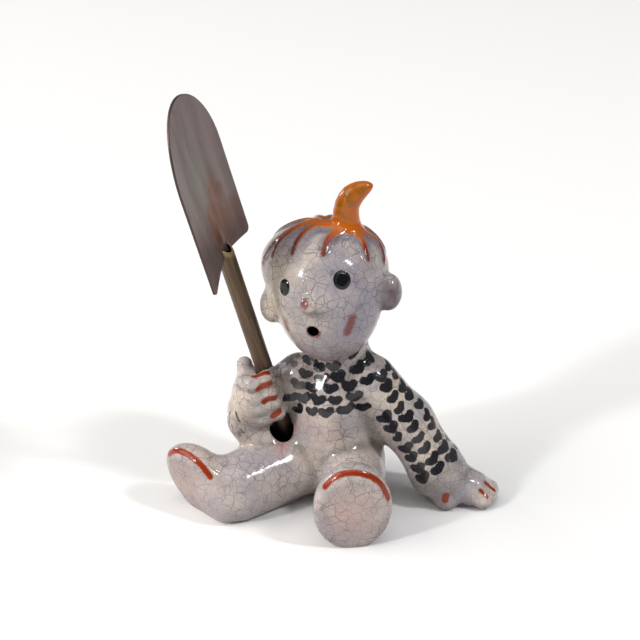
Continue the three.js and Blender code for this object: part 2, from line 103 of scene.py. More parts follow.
# Right arm: the elbow rests on the thigh and the fist closes round the tube.
ARM_RIGHT = ((-11.1, -2.6, 43.7, 8.5), (-22, -9, 36, 6.9), (-28.1, -12.5, 28.1, 6))
FOREARM_RIGHT = ((-25.9, -14.2, 33.4, 7.4), (-25.6, -14, 27.8, 5.9), (-20.7, -13.2, 22.4, 6.6))
THUMB_RIGHT = ((-24.9, -15.9, 44.5, 3.7), (-27, -14, 51, 2.8))
ACROSS_FIST = np.array((0.914, 0.328, 0.238))
FIST = {"left": -5.2, "front": 1.4, "up": 18.6, "half": (9.1, 8.2, 11)}
FINGER = {"first": 28.6, "pitch": 5, "count": 4, "r": 2.6}
FINGER_ROUTE = ((-7.8, 4.4), (-4.5, 6.7), (0.5, 5.3), (1.5, 1.4))
LAP_HOLE = ((-1.2, 0.8, -10, 4.9), (-0.6, 3.3, 4.6, 4.3))
LAP_WALL = (-17.5, -3.5, 18.5, 6)
BORE = {"r": 3.08, "top": 40, "edge": 0.5}

# Head: a skull, a fuller jaw and a cap of hair.
HEAD = np.array((-0.4, -3.5, 80.8))
SKULL = {"from": (-0.4, 0.2, 3.6), "half": (20.3, 21.2, 19.4)}
JAW = {"from": (2, -2.7, -9.2), "half": (14.9, 15.8, 15.4)}
HAIR = {"from": (-2, 1.7, 7), "half": (21.6, 19.8, 14.4)}
NAPE = (0.3, 1.5, 64, 12)
EAR_HALF = (4.5, 5, 6.5)
EAR_LEFT = (20.6, -1.6, 81.8)
EAR_RIGHT = (-16.2, -13.2, 75.8)
NOSE = ((3.9, -20.3, 83.7, 5), (1.8, -25, 84.2, 3.1))
MOUTH = {"at": (2.4, -24.2, 73.7), "inwards": (-0.15, 0.97, 0.19), "r": 1.8, "deep": 9, "edge": 0.8}

# Hair: raised locks that leave the curl and run down to their tips. Each is a path of directions on
# the head: an angle from the face round to the left ear, and an angle down from the crown, in degrees.
LOCK_PATHS = (
    ((76, 1), (-90, 20), (-69, 43), (-64, 66)), ((45, 2), (-75, 19), (-62, 39), (-53, 54)),
    ((61, 11), (-46, 12), (-34, 29), (-26, 42)), ((74, 17), (38, 17), (20, 26), (15, 37)),
    ((86, 24), (86, 32), (78, 39), (73, 48)), ((100, 25), (116, 39), (111, 49), (97, 59)),
    ((130, 22), (140, 36), (134, 48), (126, 60)), ((160, 20), (167, 36), (162, 50), (154, 63)),
    ((-160, 16), (-170, 34), (-176, 50), (180, 64)), ((-130, 12), (-143, 32), (-145, 50), (-148, 64)),
    ((-100, 8), (-112, 30), (-106, 48), (-104, 64)),
)
LOCK = {"r": 2, "tip": 1.1, "relief": 0.8, "fade": 0.7, "steps": 4}
CURL = (
    (5.5, -0.6, 100.2, 5.1), (4.9, -0.8, 105.4, 4.5), (5.2, -0.7, 110.3, 4.1), (6.7, -0.1, 113.5, 3.9),
    (8.7, 0.7, 115.4, 3.2), (10.7, 1.5, 116.6, 2.2), (12.1, 2.1, 117.1, 1.1),
)
CURL_STEPS = 2

# The space that the wrap covers. A block of cells is skipped where its middle is more than BLOCK_REACH
# of its widths from the surface.
WRAP_LOW = np.array((-56.0, -48.0, -3.0))
WRAP_HIGH = np.array((63.0, 26.0, 121.0))
BLOCK = 4
BLOCK_REACH = 1.4

# Points settle on the surface by the field's slope over a small step, taken as no less than a least
# one. Rays find the surface in some rounds.
SETTLE_ROUNDS = 2
SETTLE_STEP = 0.05
LEAST_STEEP = 0.25
RAY_ROUNDS = 14

# A field counts as this far away where it isn't worked out. Head and body are both worked out where
# they join, from some neck radii below the neck to some above it.
FAR = 50.0
JOIN = {"below": 1.5, "above": 1.7}


# Arithmetic on places

def unit(v):
    """A vector, or each row of an array, divided by its length."""
    v = np.asarray(v, float)
    return v / np.linalg.norm(v, axis=-1, keepdims=True)


def square_to(v, axis):
    """The part of v that is square to axis, as a unit vector."""
    axis = unit(axis)
    return unit(np.asarray(v, float) - axis * np.dot(v, axis))


def size_of(v):
    """The length of each row."""
    return np.sqrt(np.einsum("ij,ij->i", v, v))


def smooth_path(places, steps):
    """Places on a curve through some places, a number of steps between each two. Each step weighs
    the four places round it by Catmull and Rom's cubics in t."""
    k = np.array(places, float)
    k = np.vstack((2 * k[0] - k[1], k, 2 * k[-1] - k[-2]))
    t = np.linspace(0, 1, steps, endpoint=False)[:, None, None]
    a, b, c, d = k[None, :-3], k[None, 1:-2], k[None, 2:-1], k[None, 3:]
    square = t ** 2 * (a - 2.5 * b + 2 * c - d / 2)
    cube = t ** 3 * (1.5 * (b - c) + (d - a) / 2)
    curve = b + t * (c - a) / 2 + square + cube
    return np.vstack((curve.transpose(1, 0, 2).reshape(-1, 3), k[-2]))


def smooth_balls(balls, steps):
    """Balls on a smooth curve through the centres of some balls, with radii in proportion."""
    balls = np.array(balls, float)
    done = np.arange((len(balls) - 1) * steps + 1) / steps
    r = np.interp(done, np.arange(len(balls)), balls[:, 3])
    return np.column_stack((smooth_path(balls[:, :3], steps), r))


UP = unit(UP_SPADE)
ACROSS = square_to(ACROSS_BLADE, UP)
BLADE_FACE = np.cross(UP, ACROSS)
LEFT_OF_TUBE = square_to(ACROSS_FIST, UP)
FRONT_OF_TUBE = np.cross(LEFT_OF_TUBE, UP)


def by_tube(left, front, up):
    """A place given from the lap: to the tube's left, to its front, and up along it."""
    return LAP + LEFT_OF_TUBE * left + FRONT_OF_TUBE * front + UP * up


# Fields: each takes places, one to a row, and gives one distance for each

def soft(k, a, b):
    """The smaller of two distances, less h squared times k/4, where h falls from 1 where they are
    equal to 0 where they differ by k."""
    h = np.maximum(k - np.abs(a - b), 0) / k
    return np.minimum(a, b) - h * h * k / 4


def melt(k, *distances):
    """Several distances joined one after the other with soft."""
    whole = distances[0]
    for distance in distances[1:]:
        whole = soft(k, whole, distance)
    return whole


def carve(k, distance, tool):
    """What is left of a form outside a tool, with an edge rounded over k."""
    return -soft(k, -distance, tool)


def cone(p, a, b):
    """A cone with a ball at each end: the distance to the nearest place on the line between the
    balls' centres, less the radius there."""
    a, b = np.float32(a), np.float32(b)
    line = b[:3] - a[:3]
    offset = p - a[:3]
    t = np.clip(offset @ line / (line @ line), 0, 1)
    return size_of(offset - t[:, None] * line) - a[3] - t * (b[3] - a[3])


def chain(p, k, balls):
    """Cones from each ball to the next, melted together."""
    return melt(k, *(cone(p, a, b) for a, b in zip(balls, balls[1:])))


def egg(p, centre, half, axes=np.eye(3)):
    """An egg with three half axes along three directions. With s the offset divided by the half
    axes, and g the same divided by them twice, the distance is near |s| (|s| - 1) / |g|."""
    offset = (p - np.float32(centre)) @ np.float32(axes).T / np.float32(half)
    size = size_of(offset)
    return size * (size - 1) / (size_of(offset / np.float32(half)) + 1e-9)


def foot(p, sole):
    """An egg that a flat sole cuts off, square to the way the sole faces."""
    out = unit(sole["faces"])
    toes = square_to(sole["toes"], out)
    body = egg(p, np.array(sole["at"]) - out * SOLE_SETBACK, sole["half"], (toes, np.cross(toes, out), out))
    return -soft(SOLE_ROUND, -body, -((p - np.float32(sole["at"])) @ np.float32(out)))


def leg(p, hip, ankle, sole):
    """The leg's cone melted into its foot."""
    return melt(MELT["foot"], cone(p, hip, ankle), foot(p, sole))


def left_hand(p):
    """The palm and thumb, with fingers that keep a crease between them."""
    palm = melt(MELT["feature"], chain(p, MELT["foot"], PALM_LEFT), cone(p, *THUMB_LEFT))
    return melt(MELT["finger"], palm, *(cone(p, FINGER_ROOT, tip) for tip in FINGER_TIPS))


def finger_balls(i):
    """The balls of one finger of the fist, from its knuckle to its tip behind the tube."""
    up = FINGER["first"] - i * FINGER["pitch"]
    return [(*by_tube(left, front, up), FINGER["r"]) for left, front in FINGER_ROUTE]


def fist(p):
    """A palm, four fingers curled round the tube, and a thumb that stands up."""
    middle = by_tube(FIST["left"], FIST["front"], FIST["up"])
    palm = egg(p, middle, FIST["half"], (LEFT_OF_TUBE, FRONT_OF_TUBE, UP))
    fingers = (chain(p, MELT["finger"], finger_balls(i)) for i in range(FINGER["count"]))
    return melt(MELT["feature"], melt(MELT["finger"], palm, *fingers), cone(p, *THUMB_RIGHT))


def body_forms(p):
    """The body's forms, from the trunk to the hands, before they are melted together."""
    return (
        chain(p, MELT["trunk"], TRUNK),
        leg(p, HIP_LEFT, ANKLE_LEFT, SOLE_LEFT),
        leg(p, HIP_RIGHT, ANKLE_RIGHT, SOLE_RIGHT),
        cone(p, LAP_WALL, SEAT[:3] + LAP_WALL[3:]),
        chain(p, MELT["limb"], (SHOULDER_LEFT, ELBOW_LEFT, WRIST_LEFT)),
        chain(p, MELT["foot"], ARM_RIGHT),
        left_hand(p),
        melt(MELT["palm"], fist(p), chain(p, MELT["palm"], FOREARM_RIGHT)),
    )


def body(p):
    """The whole body below the head."""
    *limbs, hand, forearm = body_forms(p)
    return melt(MELT["palm"], melt(MELT["limb"], *limbs), hand, forearm)


def face(p):
    """The head without its locks: skull, jaw, cap of hair, ears, nose and neck."""
    skull, jaw, hair = (egg(p, HEAD + form["from"], form["half"]) for form in (SKULL, JAW, HAIR))
    ears = (egg(p, ear, EAR_HALF) for ear in (EAR_LEFT, EAR_RIGHT))
    head = melt(MELT["feature"], melt(MELT["skull"], skull, jaw), hair, *ears, cone(p, *NOSE))
    return melt(MELT["palm"], head, cone(p, NAPE, NECK))


def direction(around, down):
    """The unit vector that points at an angle from the face round to the left ear, and an angle down
    from the crown."""
    around, down = np.radians(around), np.radians(down)
    return np.array((np.sin(down) * np.sin(around), -np.sin(down) * np.cos(around), np.cos(down)))


def reach(field, start, ways, first):
    """How far rays from a start run before they cross a field's surface: each step goes on by the
    distance that the field gives, out from inside and back from outside."""
    far = np.full(len(ways), float(first))
    for _ in range(RAY_ROUNDS):
        far -= field((start + ways * far[:, None]).astype(np.float32))
    return far


def lock_crests():
    """For each lock, the ways that its path takes from the middle of the head, and the places of its
    crest: on the head's surface, plus a relief that fades as the fourth power of the way done."""
    crests = []
    for path in LOCK_PATHS:
        ways = unit(smooth_path([direction(*spot) for spot in path], LOCK["steps"]))
        done = np.linspace(0, 1, len(ways))[:, None]
        relief = LOCK["relief"] * (1 - LOCK["fade"] * done ** 4)
        far = reach(face, HEAD, ways, 2 * SKULL["half"][0])[:, None] + relief
        crests.append((ways, HEAD + ways * far))
    return crests


LOCK_CRESTS = lock_crests()


def lock_balls(ways, crest):
    """The balls of a lock, each sunk below its crest by its own radius."""
    done = np.linspace(0, 1, len(crest))[:, None]
    r = LOCK["r"] + (LOCK["tip"] - LOCK["r"]) * done ** 2
    return np.hstack((crest - ways * r, r))


LOCKS = [lock_balls(*crest) for crest in LOCK_CRESTS]
CURL_BALLS = smooth_balls(CURL, CURL_STEPS)


def only_where(near, field, p):
    """A field worked out only where near is true, and far away elsewhere."""
    distance = np.full(len(p), FAR, np.float32)
    if near.any():
        distance[near] = field(p[near])
    return distance


def locks(p):
    """All the locks of hair."""
    return melt(MELT["lock"], *(chain(p, MELT["lock"], balls) for balls in LOCKS))


def head(p):
    """The head with its locks and its curl."""
    hair = only_where(p[:, 2] > HEAD[2] + MELT["lock"], locks, p)
    return melt(MELT["palm"], melt(MELT["lock"], face(p), hair), chain(p, MELT["curl"], CURL_BALLS))


def clay(p):
    """The body and the head, before anything is cut."""
    above = only_where(p[:, 2] > NECK[2] - JOIN["below"] * NECK[3], head, p)
    below = only_where(p[:, 2] < NECK[2] + JOIN["above"] * NECK[3], body, p)
    return melt(MELT["palm"], below, above)


def mouth_ends():
    """The ends of the line along which the mouth is hollowed, one outside and one inside the head."""
    inwards = unit(MOUTH["inwards"]) * MOUTH["deep"]
    return [MOUTH["at"] - inwards, MOUTH["at"] + inwards]


def figure(p):
    """The clay with a flat underside, the hole in the lap, the bore for the tube, and the mouth."""
    hole = [(*by_tube(*place), r) for *place, r in LAP_HOLE]
    bore = [(*(LAP + UP * up), BORE["r"]) for up in (TUBE["foot"], BORE["top"])]
    mouth = [(*end, MOUTH["r"]) for end in mouth_ends()]
    form = carve(MELT["lock"], clay(p), cone(p, *hole))
    form = carve(BORE["edge"], form, cone(p, *bore))
    form = carve(MOUTH["edge"], form, cone(p, *mouth))
    return carve(BORE["edge"], form, p[:, 2])


# From a field to a mesh

def sampled(field, cell):
    """The field at the corners of an even grid. A block whose middle is far from the surface takes
    that one value for all its corners."""
    blocks = np.ceil((WRAP_HIGH - WRAP_LOW) / (cell * BLOCK)).astype(int)
    middles = np.stack(np.meshgrid(*(np.arange(n) for n in blocks), indexing="ij"), -1).reshape(-1, 3)
    places = WRAP_LOW + (middles * BLOCK + (BLOCK - 1) / 2) * cell
    rough = field(places.astype(np.float32)).reshape(blocks)
    value = rough.repeat(BLOCK, 0).repeat(BLOCK, 1).repeat(BLOCK, 2)
    near = np.argwhere(np.abs(rough) < BLOCK_REACH * cell * BLOCK)
    inside = np.stack(np.meshgrid(*(np.arange(BLOCK),) * 3, indexing="ij"), -1).reshape(-1, 3)
    corners = (near[:, None] * BLOCK + inside).reshape(-1, 3)
    value[tuple(corners.T)] = field((WRAP_LOW + corners * cell).astype(np.float32))
    return value


def wrapped(field, cell):
    """Points and four-cornered faces round a field's surface. Each cell that the surface crosses has
    one point, the mean of the crossings on the cell's edges, and each crossed edge has one face
    between the four cells round it."""
    value = sampled(field, cell)
    step = np.array((value.shape[1] * value.shape[2], value.shape[2], 1))
    flat = value.ravel()
    cells, crossings, faces = [], [], []
    for axis in range(3):
        start = np.take(value, np.arange(value.shape[axis] - 1), axis)
        end = np.take(value, np.arange(1, value.shape[axis]), axis)
        spot = np.argwhere((start < 0) != (end < 0))
        first = spot @ step
        a, b = flat[first], flat[first + step[axis]]
        u, v = step[(axis + 1) % 3], step[(axis + 2) % 3]
        around = np.stack((first - u - v, first - v, first, first - u), 1)
        around[a > 0] = around[a > 0][:, ::-1]
        crossing = spot.astype(float)
        crossing[:, axis] += a / (a - b)
        cells.append(around.ravel())
        crossings.append(crossing.repeat(4, 0))
        faces.append(around)
    _, index = np.unique(np.concatenate(cells), return_inverse=True)
    count = np.bincount(index)
    crossing = np.concatenate(crossings)
    mean = np.stack([np.bincount(index, crossing[:, axis]) / count for axis in range(3)], 1)
    points = settled(field, WRAP_LOW + mean * cell, cell)
    return points, index.reshape(-1, 4), unit(slope(field, points))


def slope(field, p):
    """The way in which a field grows fastest, from its values a small step to both sides."""
    steps = np.eye(3, dtype=np.float32) * SETTLE_STEP
    return np.stack([field(p + s) - field(p - s) for s in steps], 1) / (2 * SETTLE_STEP)


def settled(field, points, cell):
    """Points moved onto the surface along the field's slope, by no more than half a cell a round."""
    p = points.astype(np.float32)
    for _ in range(SETTLE_ROUNDS):
        way = slope(field, p)
        steep = np.maximum(np.einsum("ij,ij->i", way, way), LEAST_STEEP)
        p = p - way * (np.clip(field(p), -cell / 2, cell / 2) / steep)[:, None]
    return p


def new_piece(name, points, faces, material, normals=None):
    """A smooth-shaded mesh object at the origin, riding on the root, with points in millimetres.
    Normals, where given, are those of the true surface."""
    mesh = bpy.data.meshes.new(name)
    mesh.vertices.add(len(points))
    mesh.vertices.foreach_set("co", np.asarray(points * MM, np.float32).ravel())
    mesh.loops.add(faces.size)
    mesh.loops.foreach_set("vertex_index", faces.astype(np.int32).ravel())
    mesh.polygons.add(len(faces))
    mesh.polygons.foreach_set("loop_start", np.arange(0, faces.size, faces.shape[1], dtype=np.int32))
    mesh.update(calc_edges=True)
    mesh.validate()
    mesh.shade_smooth()
    if normals is not None:
        mesh.normals_split_custom_set_from_vertices(normals)
    mesh.materials.append(material)
    piece = bpy.data.objects.new(name, mesh)
    bpy.context.scene.collection.objects.link(piece)
    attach(piece, "root")
    return piece


def keep_values(piece, values):
    """Stores one number for each point of a piece under each name."""
    for name, value in values.items():
        attribute = piece.data.attributes.new(name, "FLOAT", "POINT")
        attribute.data.foreach_set("value", np.asarray(value, np.float32))


# Paint: where each colour lies on the child, as distances in millimetres from the colour's edge,
# negative inside, or as shares from 0 to 1

# Dabs on the jumper: rings round the neck, and columns down both arms. Angles are in degrees. The
# yoke's turn is the angle between its rays, and a sleeve's is that of its first column. A guess is the
# length that a ray is first given, and a ray longer than its reach gives no dab.
YOKE = {
    "centre": (0.5, 0.5, 41.0), "first": 34, "step": 17.5, "rings": 5, "tilt": 7, "pitch": 6.3, "reach": 19,
    "turn": 3.0, "guess": 8,
}
SLEEVES = (
    {
        "from": SHOULDER_LEFT, "to": WRIST_LEFT, "first": -10.35, "last": 41, "turn": 123, "drift": 0.55,
        "bare": (160, 320),
    },
    {
        "from": ARM_RIGHT[0], "to": ARM_RIGHT[2], "first": -4, "last": 16, "turn": 60, "drift": 0,
        "bare": (20, 160),
    },
)
SLEEVE = {"columns": 9, "pitch": 4.35, "reach": 12, "free_from": 9, "freed": 35, "guess": 5}

# The cosine of the steepest slant at which a ray still gives a dab.
STEEPEST = 0.3

# A dab: for each lobe, the ends of its line across and up; their half width, how widely they melt
# together, and the least space between two dabs.
DAB = {
    "left": ((-1.55, 0.3), (-0.4, -0.35)), "right": ((1.55, 0.75), (0.4, -0.3)), "half": 1.44, "join": 0.7,
    "apart": 3.7,
}

# How uneven the dabs are in size, lean, place, lobes and tone.
UNEVEN = {"seed": 7, "size": 0.08, "lean": 0.18, "place": 0.2, "lobes": 0.18, "tone": 0.12}

# Dabs are greyed high on the right shoulder, partly thinned and partly as a painted sheen, and thinned to
# grey a little at the back.
THIN_AND_SHEEN_SIDE = {"from": -6, "to": -11, "above": 41, "over": 4, "most": 0.75}
GREY_BACK = {"from": 2, "over": 9, "most": 0.3}

# Paint is worked out only this near to its own marks.
PAINT_REACH = 5.2

# Rust strokes, each the places it passes through and its half width.
RUST_STROKES = (
    (((-20.4, -21.0, 51.3), (-18.4, -20.2, 52.0), (-16.1, -18.9, 52.5)), 1.0),
    (((-18.0, -22.7, 47.5), (-16.6, -21.9, 48.7), (-14.6, -20.6, 49.3)), 1.25),
    (((-16.7, -21.2, 42.3), (-15.3, -20.2, 43.2), (-13.8, -18.5, 43.0)), 1.15),
    (((-14.3, -18.8, 35.7), (-12.9, -17.3, 37.3)), 1.2),
    (((43.4, -1.6, 7.0), (43.1, -1.9, 5.2)), 1.25),
    (((54.6, 8.4, 9.1), (57.6, 9.7, 6.0)), 0.7),
    (((53.7, 4.9, 7.9), (56.4, 4.8, 5.8)), 0.65),
    (((12.9, -39.3, 25.8), (15.3, -38.1, 29.0), (19.8, -36.3, 31.1), (25.6, -33.6, 30.0), (29.7, -31.2, 26.1),
      (31.9, -29.6, 20.1)), 1.05),
    (((-48.1, -32.9, 20.7), (-43.7, -34.8, 24.4), (-37.4, -37.0, 24.7), (-32.6, -38.4, 22.7),
      (-29.2, -39.3, 19.6)), 1.05),
)
STROKE_STEPS = 5

# Thin dark strokes at the right elbow, where the sleeve ends.
CUFF_STROKES = (
    (((-29.9, -20.5, 35.1), (-31.4, -18.6, 28.7)), 0.3),
    (((-27.2, -22.2, 36.3), (-25.8, -21.5, 32.5)), 0.5),
    (((-29.8, -19.9, 29.7), (-29.0, -19.4, 25.4)), 0.3),
    (((-26.4, -21.0, 29.2), (-24.9, -20.7, 27.6)), 0.3),
)

# The face.
EYES = (
    {"at": (10.6, -18.7, 92.1), "wide": 2.9, "high": 3.15},
    {"at": (-8.0, -22.8, 87.9), "wide": 2.15, "high": 2.8},
)
PUPIL = {"share": 0.72, "right": 0.08, "down": 0.14}
BLUSHES = (
    ((14.1, -18.0, 78.4), (12.7, -18.7, 73.4), 1.6, 0.95),
    ((-7.9, -21.9, 75.5), (-8.0, -20.4, 71.4), 1.3, 0.6),
    ((0.3, -27.4, 85.8), (0.9, -27.3, 85.4), 1.8, 0.9),
)
MOUTH_SPECKLE = (0.7, 0, -0.6)

# Soft washes: the two ends of a line, a radius and a strength.
# Lilac washes: partly the glaze's cool tint, partly painted shade on the far side of the face, under the
# chin, on the lower legs and the left wrist.
LILAC_AND_SHADE_WASHES = (
    ((13.0, -17.0, 98.0), (17.0, -14.0, 74.0), 10.0, 0.7),
    ((-14.0, -22.0, 14.0), (-26.0, -34.0, 12.0), 9.0, 0.5),
    ((22.0, -24.0, 22.0), (16.0, -16.0, 20.0), 9.0, 0.3),
    ((36.0, 2.0, 14.0), (46.0, 4.0, 6.0), 8.0, 0.4),
    ((2.0, -9.0, 60.0), (10.0, -5.0, 60.0), 9.0, 0.35),
)
# Mauve washes: partly glaze tint, partly painted shade on the left ear and under the chin.
MAUVE_AND_SHADE_WASHES = (
    ((23.6, -5.4, 84.0), (23.2, -4.4, 79.0), 3.6, 1.0),
    ((2.0, -12.0, 60.0), (-2.0, -14.0, 62.0), 5.0, 0.35),
)
WARM_WASHES = (
    ((-22.7, -20.3, 24.7), (-26.5, -18.5, 23.5), 2.6, 0.6),
    ((24.2, -3.0, 41.9), (35.0, -2.3, 24.0), 5.0, 0.35),
    ((-13.0, -12.0, 44.0), (-6.0, -9.0, 50.0), 5.0, 0.25),
    ((-1.5, -15.2, 19.3), (-1.5, -14.0, 22.0), 2.5, 0.4),
    ((-12.0, -20.0, 90.0), (-14.0, -18.0, 74.0), 7.0, 0.55),
    ((-24.0, -22.0, 44.0), (-27.0, -21.0, 36.0), 6.0, 0.5),
)
PINK_WASHES = (
    ((-12.3, -17.3, 23.0), (-10.0, -11.5, 28.0), 2.6, 0.9),
    ((-37.0, -34.0, 12.0), (-40.0, -33.0, 14.0), 11.0, 0.35),
    ((21.8, -36.0, 15.0), (21.8, -36.0, 12.0), 9.0, 0.45),
    ((0.1, -7.3, 52.5), (4.0, -7.5, 52.0), 3.5, 0.7),
    ((4.0, -14.0, 28.0), (-2.0, -14.0, 30.0), 6.0, 0.25),
)

# Painted locks: how far the paint goes from the crest, the lilac and mauve beside it, partly glaze
# tint and partly painted shade on the side away from the light, and how they fade down the lock.
STRAND = {
    "root": 1.2, "tip": 0.8, "base": 1.2, "lilac": 1.3, "spread": 1.9, "other_side": 0.35, "full": 1.5,
    "fade": 1.2, "mauve": 0.45,
}
# The side of a lock, down and to the right, on which its lilac is laid most, as painted shade.
SHADE_SIDE = unit((0.85, 0.1, -0.5))

# The amber lies thick on the curl's upper part, darker as honey, partly thick glaze and partly
# painted shade in the curl's hollow, on the side that faces this way: its gain as the surface turns
# to that side, what is taken off that, and over what height it grows.
CURL_FACE = unit((0.1, -0.9, 0.35))
CURL_THICK_AND_SHADE = {"gain": 1.6, "start": 0.5, "over": 3}

# Depths of clay at which a crease is full of glaze, darkened partly as pooled glaze and partly as
# painted shade, and at which the inside of a hole is painted black as shade; the height of the bare
# clay at the foot, the softness of a blush, and the upward tilt below which surfaces that face down
# are painted darker as shade.
POOL_AND_SHADE_DEPTH = 0.8
HOLE_SHADE_DEPTH = 0.5
BARE_HEIGHT = 0.4
BLUSH_SOFT = 0.45
UNDERSIDE_SHADE_TILT = 0.3


def to_line(p, a, b):
    """The distance to the line between two places, and how far along it the nearest place is."""
    a, b = np.float32(a), np.float32(b)
    t = np.clip((p - a) @ (b - a) / ((b - a) @ (b - a)), 0, 1)
    return size_of(p - a - t[:, None] * (b - a)), t


def wash(p, lines):
    """The most that any of some soft washes gives: its strength times exp(-(d / radius)^2), with d the
    distance from its line."""
    shares = [strength * np.exp(-((to_line(p, a, b)[0] / radius) ** 2)) for a, b, radius, strength in lines]
    return np.max(shares, axis=0)


def stroke_edge(p, strokes):
    """The distance from the edge of the nearest stroke, which is round at its ends."""
    edge = np.full(len(p), FAR, np.float32)
    for places, half in strokes:
        path = smooth_path(places, STROKE_STEPS) if len(places) > 2 else np.array(places)
        around = np.ptp(path, axis=0).max() + PAINT_REACH
        near = np.flatnonzero(size_of(p - np.float32(path.mean(0))) < around)
        for a, b in zip(path, path[1:]):
            edge[near] = np.minimum(edge[near], to_line(p[near], a, b)[0] - half)
    return edge


def yoke_dabs():
    """Places, downward ways and outward ways of the dabs round the neck. Ring by ring, rays leave the
    middle of the chest at one angle from the vertical, less a tilt, one pitch apart where they end."""
    centre = np.array(YOKE["centre"])
    rings = []
    for ring in range(YOKE["rings"]):
        around = np.arange(-180, 180, YOKE["turn"])
        down = YOKE["first"] + ring * YOKE["step"] - YOKE["tilt"] * np.sin(np.radians(around))
        ways, falls = direction(around, down).T, direction(around, down + 90).T
        far = reach(body, centre, ways, YOKE["guess"])
        places = centre + ways * far[:, None]
        run = np.concatenate(([0], np.cumsum(size_of(np.diff(places, axis=0)))))
        count = int(run[-1] / YOKE["pitch"])
        chosen = np.searchsorted(run, (np.arange(count) + ring % 2 / 2) * YOKE["pitch"])
        chosen = chosen[far[chosen] < YOKE["reach"]]
        rings.append((places[chosen], falls[chosen], ways[chosen]))
    return [np.concatenate(part) for part in zip(*rings)]


def sleeve_dabs(sleeve):
    """Places, downward ways and outward ways of the dabs on an arm: rays leave the line between two
    balls square to it, at even angles that drift as the line runs down, one pitch further for each
    row. The side that faces the trunk stays bare, over a wider angle beside the shoulder."""
    start, end = np.array(sleeve["from"][:3], float), np.array(sleeve["to"][:3], float)
    down = unit(end - start)
    side = square_to((0, 1, 0), down)
    low, high = sleeve["bare"]
    columns = np.arange(SLEEVE["columns"]) * 360 / SLEEVE["columns"]
    rows = []
    for run in np.arange(sleeve["first"], sleeve["last"], SLEEVE["pitch"]):
        turn = (sleeve["turn"] + sleeve["drift"] * run + columns) % 360
        angle = np.radians(turn)[:, None]
        ways = np.cos(angle) * side + np.sin(angle) * np.cross(down, side)
        middle = start + down * run
        far = reach(body, middle, ways, SLEEVE["guess"])
        free = low + SLEEVE["freed"] * (run > SLEEVE["free_from"])
        kept = (far < SLEEVE["reach"]) & ((turn < free) | (turn > high))
        rows.append((middle + ways[kept] * far[kept, None], np.tile(down, (kept.sum(), 1)), ways[kept]))
    return [np.concatenate(part) for part in zip(*rows)]


def all_dabs():
    """The dabs of the yoke and both sleeves, turned to lie on the surface, without those where a ray
    met it at a steep slant and those that would lie on an earlier one."""
    groups = [yoke_dabs(), *(sleeve_dabs(sleeve) for sleeve in SLEEVES)]
    places, falls, ways = (np.concatenate(part) for part in zip(*groups))
    outs = unit(slope(body, places.astype(np.float32)))
    falls = unit(falls - outs * np.einsum("ij,ij->i", falls, outs)[:, None])
    kept = []
    for i in np.flatnonzero(np.einsum("ij,ij->i", ways, outs) > STEEPEST):
        if not kept or size_of(places[kept] - places[i]).min() > DAB["apart"]:
            kept.append(i)
    return places[kept], falls[kept], outs[kept]


def thin_and_sheen_share(at):
    """How much a dab at a place is greyed: the larger of its shares for the right shoulder, partly
    thinning and partly painted sheen, and for thinning at the back."""
    beside = np.clip((THIN_AND_SHEEN_SIDE["from"] - at[0]) / (THIN_AND_SHEEN_SIDE["from"] - THIN_AND_SHEEN_SIDE["to"]), 0, 1)
    high = np.clip((at[2] - THIN_AND_SHEEN_SIDE["above"]) / THIN_AND_SHEEN_SIDE["over"], 0, 1)
    behind = np.clip((at[1] - GREY_BACK["from"]) / GREY_BACK["over"], 0, 1)
    return max(THIN_AND_SHEEN_SIDE["most"] * high * beside, GREY_BACK["most"] * behind)


def dab_edges(p):
    """The distance from the nearest dab's edge, and how much that dab's colour is greyed, by thinning
    and by painted sheen. A dab is two lobes, each a line with a half width, melted together; the right
    one reaches higher."""
    draw = np.random.default_rng(UNEVEN["seed"])
    edge = np.full(len(p), FAR, np.float32)
    thin_and_sheen = np.zeros(len(p), np.float32)
    for at, fall, out in zip(*all_dabs()):
        grow = 1 + UNEVEN["size"] * draw.standard_normal()
        lean = UNEVEN["lean"] * draw.standard_normal()
        shift = UNEVEN["place"] * draw.standard_normal(2)
        bend = UNEVEN["lobes"] * draw.standard_normal((4, 2))
        grey = thin_and_sheen_share(at) + UNEVEN["tone"] * draw.random()
        near = np.flatnonzero(size_of(p - np.float32(at)) < PAINT_REACH)
        offset = p[near] - at
        across = np.cross(out, fall)
        flat = np.stack((offset @ (across + fall * lean), offset @ (across * lean - fall)), 1) / grow - shift
        a, b, c, d = np.array((*DAB["left"], *DAB["right"])) + bend
        distance = soft(DAB["join"], to_line(flat, a, b)[0], to_line(flat, c, d)[0]) - DAB["half"]
        closer = distance < edge[near]
        edge[near[closer]] = distance[closer] * grow
        thin_and_sheen[near[closer]] = grey
    return edge, thin_and_sheen


def eye_edges(p):
    """Distances from the edges of the eyes and of their black middles. Each is an ellipse on the plane
    that faces out from the middle of the head."""
    eyes, pupils = [], []
    for eye in EYES:
        out = unit(np.array(eye["at"]) - HEAD)
        up = square_to((0, 0, 1), out)
        offset = p - np.float32(eye["at"])
        behind = np.maximum(-(offset @ out) - PAINT_REACH, 0)
        u, v = offset @ np.cross(up, out) / eye["wide"], offset @ up / eye["high"]
        half = min(eye["wide"], eye["high"])
        eyes.append((np.hypot(u, v) - 1) * half + behind)
        pupils.append((np.hypot(u - PUPIL["right"], v + PUPIL["down"]) - PUPIL["share"]) * half + behind)
    return np.min(eyes, axis=0), np.min(pupils, axis=0)


